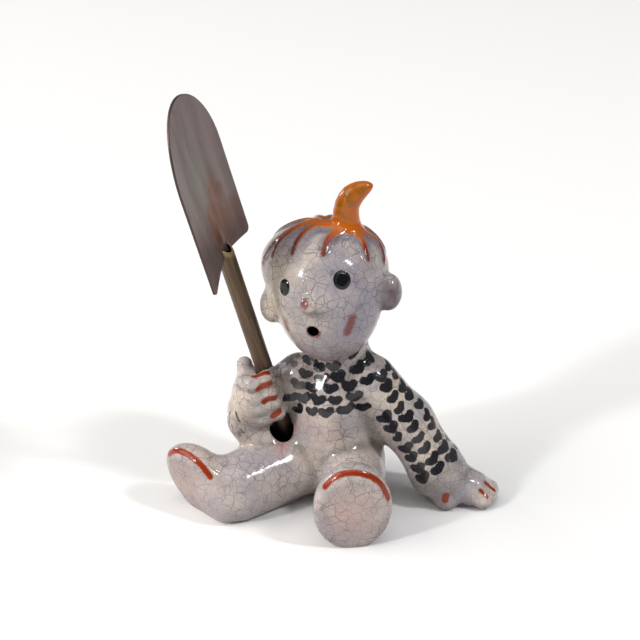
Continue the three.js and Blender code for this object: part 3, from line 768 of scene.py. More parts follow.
def strands(p):
    """The distance from the edge of the nearest painted lock or the curl, how far down the lock that
    is, and the strength of the cool wash beside the locks, partly glaze tint and partly painted shade,
    most on their lower right side, away from the light."""
    nearest = np.full(len(p), FAR, np.float32)
    run, beside = np.zeros((2, len(p)), np.float32)
    for _, crest in LOCK_CRESTS:
        for i, (a, b) in enumerate(zip(crest, crest[1:])):
            distance, t = to_line(p, a, b)
            done = (i + t) / (len(crest) - 1)
            side = 0.5 + 0.5 * np.tanh((p - a - t[:, None] * (b - a)) @ SHADE_SIDE)
            side = STRAND["other_side"] + (1 - STRAND["other_side"]) * side
            distance = distance - (STRAND["root"] + (STRAND["tip"] - STRAND["root"]) * done)
            close = np.exp(-(((distance - STRAND["lilac"]) / STRAND["spread"]) ** 2))
            faded = np.clip(STRAND["full"] - STRAND["fade"] * done, 0, 1)
            beside = np.maximum(beside, side * close * faded)
            closer = distance < nearest
            nearest[closer], run[closer] = distance[closer], done[closer]
    curl = chain(p, MELT["curl"], CURL_BALLS) - STRAND["base"]
    run[curl < nearest] = 0
    return np.minimum(nearest, curl), run, beside


def thick_and_shaded_on_curl(p, normals):
    """How thick the amber lies, darker as honey partly from thick glaze and partly as painted shade: on the
    upper part of the curl, on the side that faces CURL_FACE.
    """
    facing = np.clip(normals @ CURL_FACE * CURL_THICK_AND_SHADE["gain"] - CURL_THICK_AND_SHADE["start"], 0, 1)
    return facing * np.clip((p[:, 2] - CURL[1][2]) / CURL_THICK_AND_SHADE["over"], 0, 1)


def pooled_and_shaded(p):
    """How much the creases darken, partly as glaze pooled thick and partly as painted shade: the depth of
    clay that melting adds between two forms.
    """
    hard = np.min([*body_forms(p), face(p)], axis=0)
    return np.clip((hard - clay(p)) / POOL_AND_SHADE_DEPTH, 0, 1)


def blushed(p):
    """The strength of the blush: each dab's own, times a soft step at its half width."""
    shares = [
        share / (1 + np.exp((to_line(p, a, b)[0] - half) / BLUSH_SOFT)) for a, b, half, share in BLUSHES
    ]
    return np.max(shares, axis=0)


def painted(p, normals):
    """Every paint value of the child, by name."""
    strand, run, beside = strands(p)
    eye, pupil = eye_edges(p)
    dab, thin_and_sheen = dab_edges(p)
    speckle = [end + MOUTH_SPECKLE for end in mouth_ends()]
    return {
        # dab_thin_and_sheen: greyed dabs, partly thinned paint and partly painted sheen.
        "dab_edge": dab, "dab_thin_and_sheen": thin_and_sheen, "strand_edge": strand, "strand_run": run,
        "rust_edge": stroke_edge(p, RUST_STROKES), "cuff_edge": stroke_edge(p, CUFF_STROKES),
        "eye_edge": eye, "pupil_edge": pupil, "blush": blushed(p),
        "mouth_edge": to_line(p, *mouth_ends())[0] - MOUTH["r"],
        "speckle_edge": to_line(p, *speckle)[0] - MOUTH["r"],
        # lilac and mauve: partly glaze tint, partly painted shade beside the locks and on shaded sides.
        "lilac": np.maximum(beside, wash(p, LILAC_AND_SHADE_WASHES)),
        "mauve": np.maximum(STRAND["mauve"] * beside, wash(p, MAUVE_AND_SHADE_WASHES)),
        # pool: creases darkened, partly as pooled glaze and partly as painted shade.
        "warm": wash(p, WARM_WASHES), "pink": wash(p, PINK_WASHES), "pool": pooled_and_shaded(p),
        # inside: painted shade, black deep inside the holes.
        "inside": np.clip(-HOLE_SHADE_DEPTH - clay(p), 0, 1), "bare": np.clip(1 - p[:, 2] / BARE_HEIGHT, 0, 1),
        # under: painted shade on surfaces that face down.
        "under": np.clip(UNDERSIDE_SHADE_TILT - normals[:, 2], 0, 1), "thick": thick_and_shaded_on_curl(p, normals),
    }


# Materials

# Noises: the size of their lumps in millimetres, their detail and its roughness.
NOISES = {
    "glaze": (14.0, 3.0, 0.5), "cloud": (4.0, 3.0, 0.5), "faint": (9.0, 2.0, 0.5), "bend": (6.25, 1.0, 0.5),
    "wave": (5.0, 1.0, 0.5), "edge": (0.9, 2.0, 0.5), "grain": (0.55, 2.0, 0.7), "fleck": (0.45, 1.0, 0.5),
    "honey": (2.5, 3.0, 0.5), "streak": (1.0, 3.0, 0.6), "patina": (9.0, 3.0, 0.5), "film": (5.0, 2.0, 0.5),
    "patch": (3.0, 3.0, 0.5), "fine": (0.8, 4.0, 0.6), "floor": (1.5, 2.0, 0.5),
}

# How values turn into others: as one goes from the first number to the second, the result goes from
# the third to the fourth. The glaze and its cracks, the dabs, the face, the hair and the metal.
TURNS = {
    "grey": (0.35, 0.65, 0.0, 1.0), "under": (0.0, 1.0, 0.0, 0.7), "cloud": (0.3, 0.7, 0.75, 1.15),
    "faint": (0.35, 0.6, 0.45, 1.0), "glaze_roughness": (0.0, 1.0, 0.1, 0.7),
    "grain": (0.42, 0.66, 0.0, 0.75), "dab_rim": (-0.3, 0.1, 0.0, 0.35), "dab": (-0.15, 0.15, 1.0, 0.0),
    "cuff": (-0.15, 0.2, 0.85, 0.0), "rust": (-0.3, 0.4, 1.0, 0.0),
    "blush": (0.1, 0.9, 0.0, 0.9), "speckle": (0.05, 0.5, 0.85, 0.0), "lip": (0.1, 0.9, 0.8, 0.0),
    "mouth": (0.0, 0.35, 1.0, 0.0), "eye_ring": (-0.75, -0.35, 0.0, 1.0), "pupil": (-0.25, 0.35, 1.0, 0.0),
    "eye": (-0.12, 0.18, 1.0, 0.0), "eye_relief": (-1.1, 0.1, 0.3, 0.0),
    "strand": (-0.5, 0.6, 1.0, 0.0), "honey": (0.3, 0.65, 0.3, 1.0),
    "streak": (0.35, 0.65, 0.0, 1.0), "patina": (0.25, 0.8, 0.0, 0.85), "film": (0.3, 0.7, 0.6, 1.0),
    "patch": (0.2, 0.8, 0.0, 0.9), "rim": (0.0, 1.0, 0.0, 0.8), "specks": (0.55, 0.75, 0.0, 0.3),
    "metal_roughness": (0.3, 0.7, 0.34, 0.5),
}

# How much noise breaks up the edges of what is stored.
BREAKS = {
    "dab_edge": 0.675, "cuff_edge": 0.27, "rust_edge": 0.54, "strand_edge": 0.9, "blush": 0.45,
    "mouth_edge": 0.54, "speckle_edge": 3.0, "clouded": 0.8, "heated": 0.7,
}

# Cracks: for each of two fields, the cells' size as a share of the crackle's, the lines' width in
# millimetres and how dark they are. Then what holds for both.
CRACKS = ((1.0, 0.16, 1.0), (0.6, 0.11, 0.65))
CRACK = {"bend": 3.0, "random": 0.85, "full": 0.35, "over_glaze": 0.65}

# The colours down a lock, each with how far down it lies.
LOCK_STOPS = ((0.0, "amber"), (0.3, "amber"), (0.62, "rust"), (0.85, "tip"))

# Heights of relief in millimetres, and the share of its cover that a fully greyed dab loses, through thinning
# and painted sheen.
RELIEF = {"wave": 0.12, "crack": -0.015, "metal": 0.03}
THINNED = 0.35
GLAZE_IOR = 1.45
METALLIC = 0.75
FLOOR_GRAIN = 0.98
FLOOR_ROUGHNESS = 0.6


def tone(red, green, blue):
    """A colour as a picture shows it, from 0 to 255, as the light that it stands for, from 0 to 1, by
    the standard curve with its straight foot."""
    value = np.array((red, green, blue)) / 255
    light = np.where(value <= 0.04045, value / 12.92, ((value + 0.055) / 1.055) ** 2.4)
    return tuple(float(v) for v in light)


class Finish:
    """A material and the nodes that are added to it one by one."""

    def __init__(self, name):
        self.material = bpy.data.materials.new(name)
        self.material.use_nodes = True
        self.nodes = self.material.node_tree.nodes
        self.links = self.material.node_tree.links
        self.shader = self.nodes["Principled BSDF"]

    def node(self, kind, inputs=None, output=0, **settings):
        """Adds a node, sets or links its inputs, and returns one of its outputs."""
        made = self.nodes.new(kind)
        for name, value in settings.items():
            setattr(made, name, value)
        self.feed(made, inputs or {})
        return made.outputs[output]

    def feed(self, node, inputs):
        """Sets or links a node's inputs by name or number."""
        for name, value in inputs.items():
            if isinstance(value, bpy.types.NodeSocket):
                self.links.new(value, node.inputs[name])
            elif node.inputs[name].type == "RGBA":
                node.inputs[name].default_value = (*value, 1)
            else:
                node.inputs[name].default_value = value

    def places(self):
        """Object coordinates in millimetres."""
        coordinates = self.node("ShaderNodeTexCoord", output="Object")
        return self.node("ShaderNodeVectorMath", {0: coordinates, 3: 1 / MM}, operation="SCALE")

    def stored(self, name):
        """A number that is stored on the mesh."""
        return self.node("ShaderNodeAttribute", output="Fac", attribute_name=name)

    def noise(self, places, name, output=0):
        """Even noise from 0 to 1, as NOISES says under a name."""
        size, detail, roughness = NOISES[name]
        inputs = {"Vector": places, "Scale": 1 / size, "Detail": detail, "Roughness": roughness}
        return self.node("ShaderNodeTexNoise", inputs, output=output)

    def math(self, operation, a, b=0.0, c=0.0):
        """One sum on two or three numbers."""
        return self.node("ShaderNodeMath", {0: a, 1: b, 2: c}, operation=operation)

    def fall(self, value, start, end, low, high):
        """Goes smoothly from low to high as a value goes from start to end."""
        inputs = {"Value": value, "From Min": start, "From Max": end, "To Min": low, "To Max": high}
        return self.node("ShaderNodeMapRange", inputs, interpolation_type="SMOOTHSTEP")

    def turned(self, name, value):
        """A value turned into another as TURNS says under a name."""
        return self.fall(value, *TURNS[name])

    def broken(self, name, noise):
        """A stored number, plus noise less its mean of a half, as much as BREAKS says."""
        amount = BREAKS[name]
        return self.math("MULTIPLY_ADD", noise, amount, self.math("SUBTRACT", self.stored(name), amount / 2))

    def mix(self, share, under, over):
        """One colour laid over another by a share."""
        return self.node("ShaderNodeMix", {"Factor": share, 6: under, 7: over}, output=2, data_type="RGBA")

    def ramp(self, value, stops):
        """A colour that runs through stops of a place and a colour."""
        made = self.nodes.new("ShaderNodeValToRGB")
        made.color_ramp.elements[0].position = stops[0][0]
        made.color_ramp.elements[0].color = (*stops[0][1], 1)
        made.color_ramp.elements[1].position = stops[-1][0]
        made.color_ramp.elements[1].color = (*stops[-1][1], 1)
        for place, colour in stops[1:-1]:
            made.color_ramp.elements.new(place).color = (*colour, 1)
        self.links.new(value, made.inputs[0])
        return made.outputs[0]


def crackle_lines(finish, places, glaze):
    """Dark lines where the distance to the edges of a field of cells is small: long cracks round
    large cells, and finer ones that divide them. The places are shifted a little by noise, so that
    the lines curve."""
    drift = finish.noise(places, "bend", "Color")
    shift = finish.node("ShaderNodeVectorMath", {0: drift, 1: (0.5,) * 3}, operation="SUBTRACT")
    shifted = {0: shift, 1: (CRACK["bend"],) * 3, 2: places}
    bent = finish.node("ShaderNodeVectorMath", shifted, operation="MULTIPLY_ADD")
    lines = []
    for share, width, dark in CRACKS:
        size = glaze.crackle_size / MM * share
        cells = {"Vector": bent, "Scale": 1 / size, "Randomness": CRACK["random"]}
        edge = finish.node("ShaderNodeTexVoronoi", cells, feature="DISTANCE_TO_EDGE")
        from_edge = finish.math("MULTIPLY", edge, size)
        lines.append(finish.fall(from_edge, width * CRACK["full"], width, dark, 0.0))
    faint = finish.turned("faint", finish.noise(places, "faint"))
    return finish.math("MULTIPLY", finish.math("MAXIMUM", *lines), faint)


def glazed_colour(finish, places, glaze):
    """The glaze's colour: cream drifting into grey, painted darker as shade on surfaces that face down, with
    soft washes and what pools in creases, both partly painted shade.
    """
    colour = finish.mix(finish.turned("grey", finish.noise(places, "glaze")), glaze.cream, glaze.grey)
    # Painted shade: the glaze goes to the under colour on surfaces that face down.
    colour = finish.mix(finish.turned("under", finish.stored("under")), colour, glaze.under)
    cloud = finish.turned("cloud", finish.noise(places, "cloud"))
    for name in ("lilac", "pink", "pool", "warm", "mauve"):
        share = finish.math("MULTIPLY", finish.stored(name), cloud)
        colour = finish.mix(share, colour, getattr(glaze, name))
    return colour


def hair_paint(finish, places, glaze, rough, under):
    """The locks and the curl: amber that runs to rust and dark ends, and honey where it lies thick, partly
    painted shade in the curl's hollow.
    """
    colour = finish.ramp(finish.stored("strand_run"), [(at, getattr(glaze, name)) for at, name in LOCK_STOPS])
    cloud = finish.turned("honey", finish.noise(places, "honey"))
    # Honey on the curl: partly thick amber, partly painted shade.
    colour = finish.mix(finish.math("MULTIPLY", finish.stored("thick"), cloud), colour, glaze.honey)
    return finish.mix(finish.turned("strand", finish.broken("strand_edge", rough)), under, colour)


def dab_paint(finish, places, glaze, rough, under):
    """The jumper's dabs and the strokes of its cuff: black with slate brush marks, or greyed by thinning
    and by a painted sheen, and feathered at the edge."""
    thin_and_sheen = finish.stored("dab_thin_and_sheen")
    marks = finish.mix(finish.turned("grain", finish.noise(places, "grain")), glaze.dab, glaze.dab_grain)
    body = finish.mix(thin_and_sheen, marks, glaze.dab_thin_and_sheen)
    edge = finish.broken("dab_edge", rough)
    body = finish.mix(finish.turned("dab_rim", edge), body, glaze.dab_thin_and_sheen)
    weak = finish.math("MULTIPLY_ADD", thin_and_sheen, -THINNED, 1.0)
    colour = finish.mix(finish.math("MULTIPLY", finish.turned("dab", edge), weak), under, body)
    return finish.mix(finish.turned("cuff", finish.broken("cuff_edge", rough)), colour, glaze.dab_grain)


def face_paint(finish, places, glaze, rough, under):
    """Blushes, the mouth with its speckled rim, and the eyes."""
    colour = finish.mix(finish.turned("blush", finish.broken("blush", rough)), under, glaze.blush)
    flecks = finish.broken("speckle_edge", finish.noise(places, "fleck"))
    colour = finish.mix(finish.turned("speckle", flecks), colour, glaze.tip)
    colour = finish.mix(finish.turned("lip", finish.broken("mouth_edge", rough)), colour, glaze.tip)
    colour = finish.mix(finish.turned("mouth", finish.stored("mouth_edge")), colour, glaze.black)
    eye = finish.stored("eye_edge")
    slate = finish.mix(finish.turned("eye_ring", eye), glaze.eye, glaze.black)
    slate = finish.mix(finish.turned("pupil", finish.stored("pupil_edge")), slate, glaze.black)
    return finish.mix(finish.turned("eye", eye), colour, slate)


def raised_glaze(finish, places, cracks):
    """The glaze's relief in millimetres: slow waves, cracks a little sunk, and eyes that stand proud."""
    wave = finish.math("MULTIPLY", finish.noise(places, "wave"), RELIEF["wave"])
    height = finish.math("MULTIPLY_ADD", cracks, RELIEF["crack"], wave)
    return finish.math("ADD", height, finish.turned("eye_relief", finish.stored("eye_edge")))


def glaze_material(glaze):
    """Crackled glaze, cream to lilac grey, with the painted colours under it."""
    finish = Finish("glaze")
    places = finish.places()
    cracks = crackle_lines(finish, places, glaze)
    rough = finish.noise(places, "edge")
    colour = glazed_colour(finish, places, glaze)
    colour = finish.mix(finish.math("MULTIPLY", cracks, CRACK["over_glaze"]), colour, glaze.crackle)
    colour = hair_paint(finish, places, glaze, rough, colour)
    colour = finish.mix(finish.turned("rust", finish.broken("rust_edge", rough)), colour, glaze.rust)
    colour = dab_paint(finish, places, glaze, rough, colour)
    colour = face_paint(finish, places, glaze, rough, colour)
    # Painted shade: black deep inside the holes, the mouth, the bore and the lap hole.
    colour = finish.mix(finish.stored("inside"), colour, glaze.black)
    bare = finish.stored("bare")
    relief = {"Height": raised_glaze(finish, places, cracks), "Distance": MM, "Strength": 1.0}
    finish.feed(finish.shader, {
        "Base Color": finish.mix(bare, colour, glaze.biscuit), "IOR": GLAZE_IOR,
        "Roughness": finish.turned("glaze_roughness", bare),
        "Normal": finish.node("ShaderNodeBump", relief),
    })
    return finish.material


def metal_material(name, metal):
    """Aged metal: one colour drifting into another, a brown cloud, streaks along the piece, a patch
    where the metal was heated, and a bright or dark rim."""
    finish = Finish(name)
    places = finish.places()
    along = finish.node("ShaderNodeAttribute", output="Vector", attribute_name="run")
    stretched = finish.node("ShaderNodeVectorMath", {0: along, 1: metal.streaks}, operation="MULTIPLY")
    streak, fine = finish.noise(stretched, "streak"), finish.noise(places, "fine")
    cloud = finish.broken("clouded", finish.noise(places, "patina"))
    film = finish.turned("film", finish.noise(places, "film"))
    patch = finish.broken("heated", finish.noise(places, "patch"))
    colour = finish.mix(finish.turned("streak", streak), metal.main, metal.second)
    colour = finish.mix(finish.turned("patina", cloud), colour, metal.third)
    colour = finish.mix(finish.math("MULTIPLY", finish.stored("greened"), film), colour, metal.green)
    colour = finish.mix(finish.turned("patch", patch), colour, metal.heated)
    colour = finish.mix(finish.turned("rim", finish.stored("rim")), colour, metal.rim)
    colour = finish.mix(finish.turned("specks", fine), colour, metal.rim)
    relief = {"Height": finish.math("MULTIPLY", fine, RELIEF["metal"]), "Distance": MM}
    finish.feed(finish.shader, {
        "Base Color": colour, "Metallic": METALLIC, "Roughness": finish.turned("metal_roughness", streak),
        "Normal": finish.node("ShaderNodeBump", relief),
    })
    return finish.material


def floor_material(studio):
    """A plain pale sheet with the faintest grain."""
    finish = Finish("floor")
    grain = finish.noise(finish.places(), "floor")
    shade = tuple(c * FLOOR_GRAIN for c in studio.floor)
    colour = finish.mix(grain, tuple(studio.floor), shade)
    finish.feed(finish.shader, {"Base Color": colour, "Roughness": FLOOR_ROUGHNESS})
    return finish.material


# Spade pieces, worked out in the spade's frame: x across the blade, y square to it, z up the tube

def in_place(points):
    """Points of the spade's frame, in the figure's frame."""
    return LAP + points @ np.array((ACROSS, BLADE_FACE, UP))


def grid_faces(columns, rows, wrap_columns=False, wrap_rows=False):
    """Four-cornered faces over a grid of points that are numbered column by column. A grid that
    wraps joins its last column or row to its first."""
    i = np.arange(columns if wrap_columns else columns - 1)[:, None]
    j = np.arange(rows if wrap_rows else rows - 1)[None, :]
    here, right = i * rows, (i + 1) % columns * rows
    next_row = (j + 1) % rows
    return np.stack((here + j, right + j, right + next_row, here + next_row), -1).reshape(-1, 4)


# The tube: sides round it, and rings of its wall's section from the foot up outside and down inside.
# Near a slot's edge two columns lie close together. Points this near to the bore count as inside.
TUBE_SIDES = 96
TUBE_RINGS = 40
RIM_STEPS = 6
SLOT_STEPS = 8
SLOT_EDGE = 0.04
INSIDE_BY = 0.1

# The blade: columns across it, rows up it, and the swage that the tube's end pressed into it.
BLADE_COLUMNS = 72
BLADE_ROWS = 150
SWAGE = {"across": -0.4, "up": 84.0, "high": 0.45, "wide": 1.7, "long": 4.0}

# Stains in the spade's frame: a place across and up, half widths both ways, and a strength.
BLADE_STAINS = {
    "heated": (((1.5, 90.0), (9.5, 11.0), 1.0), ((4.5, 100.0), (6.0, 9.0), 0.7)),
    "clouded": (((14.5, 83.0), (10.0, 10.0), 0.9), ((8.5, 98.0), (3.0, 4.0), 0.8),
                ((-14.0, 76.0), (9.0, 5.0), 0.4)),
    "greened": (((-3.0, 110.0), (6.0, 9.0), 0.9), ((-9.0, 83.0), (4.0, 6.0), 0.5),
                ((-0.4, 84.0), (1.7, 4.0), 1.0)),
}
SHAFT_STAINS = {
    "clouded": (((2.6, 60.0), (2.4, 40.0), 0.9), ((0.0, 38.0), (3.0, 5.0), 0.6)),
    "greened": (((-1.0, 66.0), (2.0, 9.0), 0.8), ((-1.0, 45.0), (1.6, 8.0), 0.7)),
}
BRASS_RIM = 1.2

# The shaft is painted darker as shade down into the lap: where that starts, and over what length.
LAP_SHADE_FROM = 9.0
LAP_SHADE_OVER = 7.0


def stained(points, stains):
    """The share of each stain at the spade's points: the most that any of its spots gives, which is
    its strength times exp(-(u^2 + v^2)), with u and v the offsets in half widths."""
    flat = points[:, (0, 2)]
    shares = {}
    for name, spots in stains.items():
        values = [strength * np.exp(-size_of((flat - at) / half) ** 2) for at, half, strength in spots]
        shares[name] = np.max(values, axis=0)
    return shares


def tube_angles(r, half_slot):
    """Angles round the tube, the same number at any radius, with a pair close together at each of
    the four edges of the slot."""
    slot = np.arcsin(half_slot / r)
    quarter = np.linspace(slot + SLOT_EDGE / r, np.pi - slot - SLOT_EDGE / r, TUBE_SIDES // 2 - SLOT_STEPS)
    bridge = np.linspace(-slot, slot, SLOT_STEPS)
    return np.concatenate((bridge, quarter, np.pi + bridge, np.pi + quarter))


def tube_points():
    """The tube's wall. Round the tube, its top is a slanted plane, or the slot's foot between the
    slot's edges. Along the section, it runs up the outside, over the rim on a half circle, and down
    the inside."""
    half_slot = BLADE["thick"] / 2 + SLOT_GAP
    middle, wall = (TUBE["r"] + TUBE["bore"]) / 2, (TUBE["r"] - TUBE["bore"]) / 2
    slot_foot = BLADE["shoulder"] + BLADE["notch"] * (1 - TUBE["r"] / BLADE["half"]) - 2 * SLOT_GAP
    turn = np.linspace(0, np.pi, RIM_STEPS)[1:-1]
    up = np.linspace(0, 1, TUBE_RINGS)
    outside, inside = np.full(TUBE_RINGS, TUBE["r"]), np.full(TUBE_RINGS, TUBE["bore"])
    section_r = np.concatenate((outside, middle + wall * np.cos(turn), inside))
    share = np.concatenate((up, np.ones(len(turn)), up[::-1]))
    lift = np.concatenate((0 * up, wall * np.sin(turn), 0 * up))
    angles = np.stack([tube_angles(r, half_slot) for r in section_r], 1)
    x, y = section_r * np.cos(angles), section_r * np.sin(angles)
    in_slot = np.abs(y) < half_slot + SLOT_EDGE / 2
    top = np.where(in_slot, slot_foot, TUBE["top"] + TUBE["slant"] * y) - wall
    z = TUBE["foot"] + (top - TUBE["foot"]) * share + lift
    return np.stack((x, y, z), -1)


def blade_points():
    """The middle of the sheet. Across, x is -half times the cosine of a half turn. Up, it runs from
    the shoulders' line to the tip's ellipse. It is dished by a parabola in x, and the swage is a
    bump of exp(-(u^2 + v^2)), with u and v the offsets in its half widths."""
    turn = np.linspace(0, np.pi, BLADE_COLUMNS)[:, None]
    x = -BLADE["half"] * np.cos(turn)
    past = np.clip((np.abs(x) - BLADE["half"] + BLADE["corner"]) / BLADE["corner"], 0, 1)
    low = BLADE["shoulder"] + BLADE["notch"] * (1 - np.abs(x) / BLADE["half"])
    low = low + BLADE["corner"] * (1 - np.sqrt(1 - past ** 2))
    high = BLADE["straight"] + (BLADE["tip"] - BLADE["straight"]) * np.sin(turn)
    z = low + (high - low) * np.linspace(0, 1, BLADE_ROWS)[None, :]
    x = np.broadcast_to(x, z.shape)
    u, v = (x - SWAGE["across"]) / SWAGE["wide"], (z - SWAGE["up"]) / SWAGE["long"]
    y = -BLADE["dish"] * (x / BLADE["half"]) ** 2 - SWAGE["high"] * np.exp(-u * u - v * v)
    return np.stack((x, y, z), -1)


# What a user may change

def colour_property(name, description, colour):
    """A colour with its default."""
    return bpy.props.FloatVectorProperty(
        name=name, description=description, subtype="COLOR", size=3, min=0, max=1, default=tone(*colour),
    )


class GlazeSettings(bpy.types.PropertyGroup):
    """The child's mesh and the colours of its glaze."""

    cell: bpy.props.FloatProperty(
        name="Cell", description="Size of the mesh's faces", default=0.62 * MM, min=0.6 * MM, max=3 * MM,
        unit="LENGTH",
    )
    crackle_size: bpy.props.FloatProperty(
        name="Crackle", description="Width of the larger crackle cells", default=4.0 * MM, min=1 * MM,
        unit="LENGTH",
    )
    cream: colour_property("Cream", "Glaze where it is lightest", (201, 188, 177))
    grey: colour_property("Grey", "Glaze where it is greyer", (168, 161, 162))
    # Lilac is partly glaze tint and partly painted shade, beside the locks, on the face's far side and under
    # the chin.
    lilac: colour_property("Lilac", "Cool wash beside the locks and on the cheek", (134, 129, 147))
    # Mauve is partly glaze tint and partly painted shade on the ear, under the chin and beside the locks.
    mauve: colour_property("Mauve", "Dark wash on the ear", (100, 82, 91))
    pink: colour_property("Pink", "Pink breath round the lap hole and on the soles", (180, 138, 134))
    # The pool colour darkens creases, partly as pooled glaze and partly as painted shade.
    pool: colour_property("Pool", "Glaze that has pooled in a crease", (140, 132, 126))
    # The under colour is painted shade on surfaces that face down.
    under: colour_property("Under", "Greyer glaze that has run to the undersides", (98, 88, 92))
    warm: colour_property("Warm", "Yellowish glaze", (206, 190, 168))
    crackle: colour_property("Crackle line", "Colour of the cracks", (84, 74, 80))
    amber: colour_property("Amber", "The curl and the upper part of the locks", (188, 94, 8))
    rust: colour_property("Rust", "Strokes on hands and soles", (138, 44, 8))
    # Honey is partly thick amber and partly painted shade in the curl's hollow.
    honey: colour_property("Honey", "Where the amber glaze lies thick on the curl", (136, 84, 16))
    tip: colour_property("Lock tip", "The locks' dark ends", (104, 38, 24))
    blush: colour_property("Blush", "Cheeks and nose", (112, 46, 40))
    dab: colour_property("Dab", "A dab on the jumper", (6, 7, 10))
    dab_grain: colour_property("Dab grain", "Brush marks in a dab", (26, 29, 42))
    # Grey of thinned dabs and their edges, also laid as painted sheen on the dabs high on the right shoulder.
    dab_thin_and_sheen: colour_property("Thin dab", "Thinned dabs and their edges", (64, 66, 76))
    eye: colour_property("Eye", "Slate disc of the eye", (32, 38, 43))
    # The black is also painted as shade deep inside the holes.
    black: colour_property("Black", "Black middle of the eye and the mouth", (7, 7, 8))
    biscuit: colour_property("Biscuit", "Bare clay under the figure", (214, 198, 176))


class BladeSettings(bpy.types.PropertyGroup):
    """The blade's patina."""

    main: colour_property("Main", "Brown mauve patina", (128, 112, 110))
    second: colour_property("Second", "Streaks along the sheet", (123, 110, 108))
    third: colour_property("Third", "Reddish brown cloud", (112, 86, 80))
    green: colour_property("Green", "Grey green film", (126, 124, 116))
    heated: colour_property("Heated", "Copper brown patch", (128, 90, 70))
    rim: colour_property("Rim", "Dark edge and specks", (62, 46, 46))
    streaks: bpy.props.FloatVectorProperty(
        name="Streaks", description="Streaks to a millimetre, across and along", size=3,
        default=(0.2, 0.03, 0.2),
    )


class ShaftSettings(bpy.types.PropertyGroup):
    """The shaft's patina."""

    main: colour_property("Main", "Olive brown patina", (104, 83, 68))
    second: colour_property("Second", "Streaks along the tube", (86, 70, 58))
    third: colour_property("Third", "Purple brown side", (86, 68, 66))
    green: colour_property("Green", "Olive film", (92, 82, 62))
    heated: colour_property("Heated", "Brass rim of the open end", (160, 138, 100))
    # The rim colour is also painted as shade on the shaft where it goes down into the lap.
    rim: colour_property("Rim", "Dark specks and the inside", (26, 19, 17))
    streaks: bpy.props.FloatVectorProperty(
        name="Streaks", description="Streaks to a millimetre, round and along", size=3,
        default=(0.9, 0.06, 0.9),
    )


class StudioSettings(bpy.types.PropertyGroup):
    """The camera, the lights and the floor."""

    azimuth: bpy.props.FloatProperty(
        name="Azimuth", description="Camera's angle round the figure from its front",
        default=np.radians(22), subtype="ANGLE",
    )
    elevation: bpy.props.FloatProperty(
        name="Elevation", description="Camera's angle above the horizon", default=np.radians(27),
        subtype="ANGLE",
    )
    distance: bpy.props.FloatProperty(
        name="Distance", description="From the camera to its target", default=0.6, min=0.1, unit="LENGTH",
    )
    picture_width: bpy.props.FloatProperty(
        name="Picture width", description="Width that the picture shows at the target", default=0.2304,
        min=0.01, unit="LENGTH",
    )
    floor: colour_property("Floor", "Colour of the floor", (250, 250, 250))
    daylight: bpy.props.FloatProperty(
        name="Daylight", description="Strength of the even white light from all sides", default=0.2, min=0,
    )


# Where the origin lies in the picture, right of its middle and above it, as shares of its width; half
# the floor's side in metres, and the width of the camera's sensor in millimetres.
ORIGIN_IN_PICTURE = (12 / 640, -165 / 640)
FLOOR_HALF = 12
SENSOR_WIDTH = 36

# Lights: rectangles that face the figure. Degrees round from the camera towards the picture's right
# and up from the floor, a distance, a width and a height in metres, and a radiance.
LIGHTS = (
    {"name": "window_right", "round": 65, "up": 48, "far": 3.0, "size": (0.26, 0.5), "radiance": 75},
    {"name": "window_left", "round": -55, "up": 28, "far": 3.0, "size": (0.26, 0.5), "radiance": 85},
    {"name": "window_back", "round": -128, "up": 14, "far": 3.0, "size": (0.3, 0.6), "radiance": 25},
    {
        "name": "soft_left", "round": -80, "up": 35, "far": 3.0, "size": (2.4, 2.4), "radiance": 3.0,
        "colour": (1, 0.95, 0.88),
    },
    {"name": "soft_top", "round": 0, "up": 85, "far": 3.0, "size": (2.4, 2.4), "radiance": 1.4},
)
AIM = Vector((0, 0, 0.06))


# Operators

class FIGURINE_OT_child(bpy.types.Operator):
    """Make the glazed child"""

    bl_idname = "figurine.child"
    bl_label = "Glazed child"

    def execute(self, context):
        glaze = context.scene.figurine_glaze
        points, faces, normals = wrapped(figure, glaze.cell / MM)
        child = new_piece("glazed_child", points, faces, glaze_material(glaze), normals)
        keep_values(child, painted(points, normals))
        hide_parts("child_figure")
        return {"FINISHED"}


class FIGURINE_OT_shaft(bpy.types.Operator):
    """Make the spade's shaft"""

    bl_idname = "figurine.shaft"
    bl_label = "Spade shaft"

    def execute(self, context):
        points = tube_points()
        columns, rows = points.shape[:2]
        flat = points.reshape(-1, 3)
        faces = grid_faces(columns, rows, wrap_columns=True, wrap_rows=True)
        patina = metal_material("shaft_patina", context.scene.figurine_shaft)
        shaft = new_piece("tube_shaft", in_place(flat), faces, patina)
        inside = np.hypot(flat[:, 0], flat[:, 1]) < TUBE["bore"] + INSIDE_BY
        below_top = TUBE["top"] + TUBE["slant"] * flat[:, 1] - flat[:, 2]
        brass = np.exp(-np.abs(below_top) / BRASS_RIM) * ~inside
        # Painted shade: the shaft goes dark where it runs down into the lap.
        rim = np.maximum(inside, np.clip((LAP_SHADE_FROM - flat[:, 2]) / LAP_SHADE_OVER, 0, 1))
        keep_values(shaft, {"rim": rim, "heated": brass, **stained(flat, SHAFT_STAINS)})
        store_run(shaft, flat)
        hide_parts("spade_shaft")
        return {"FINISHED"}


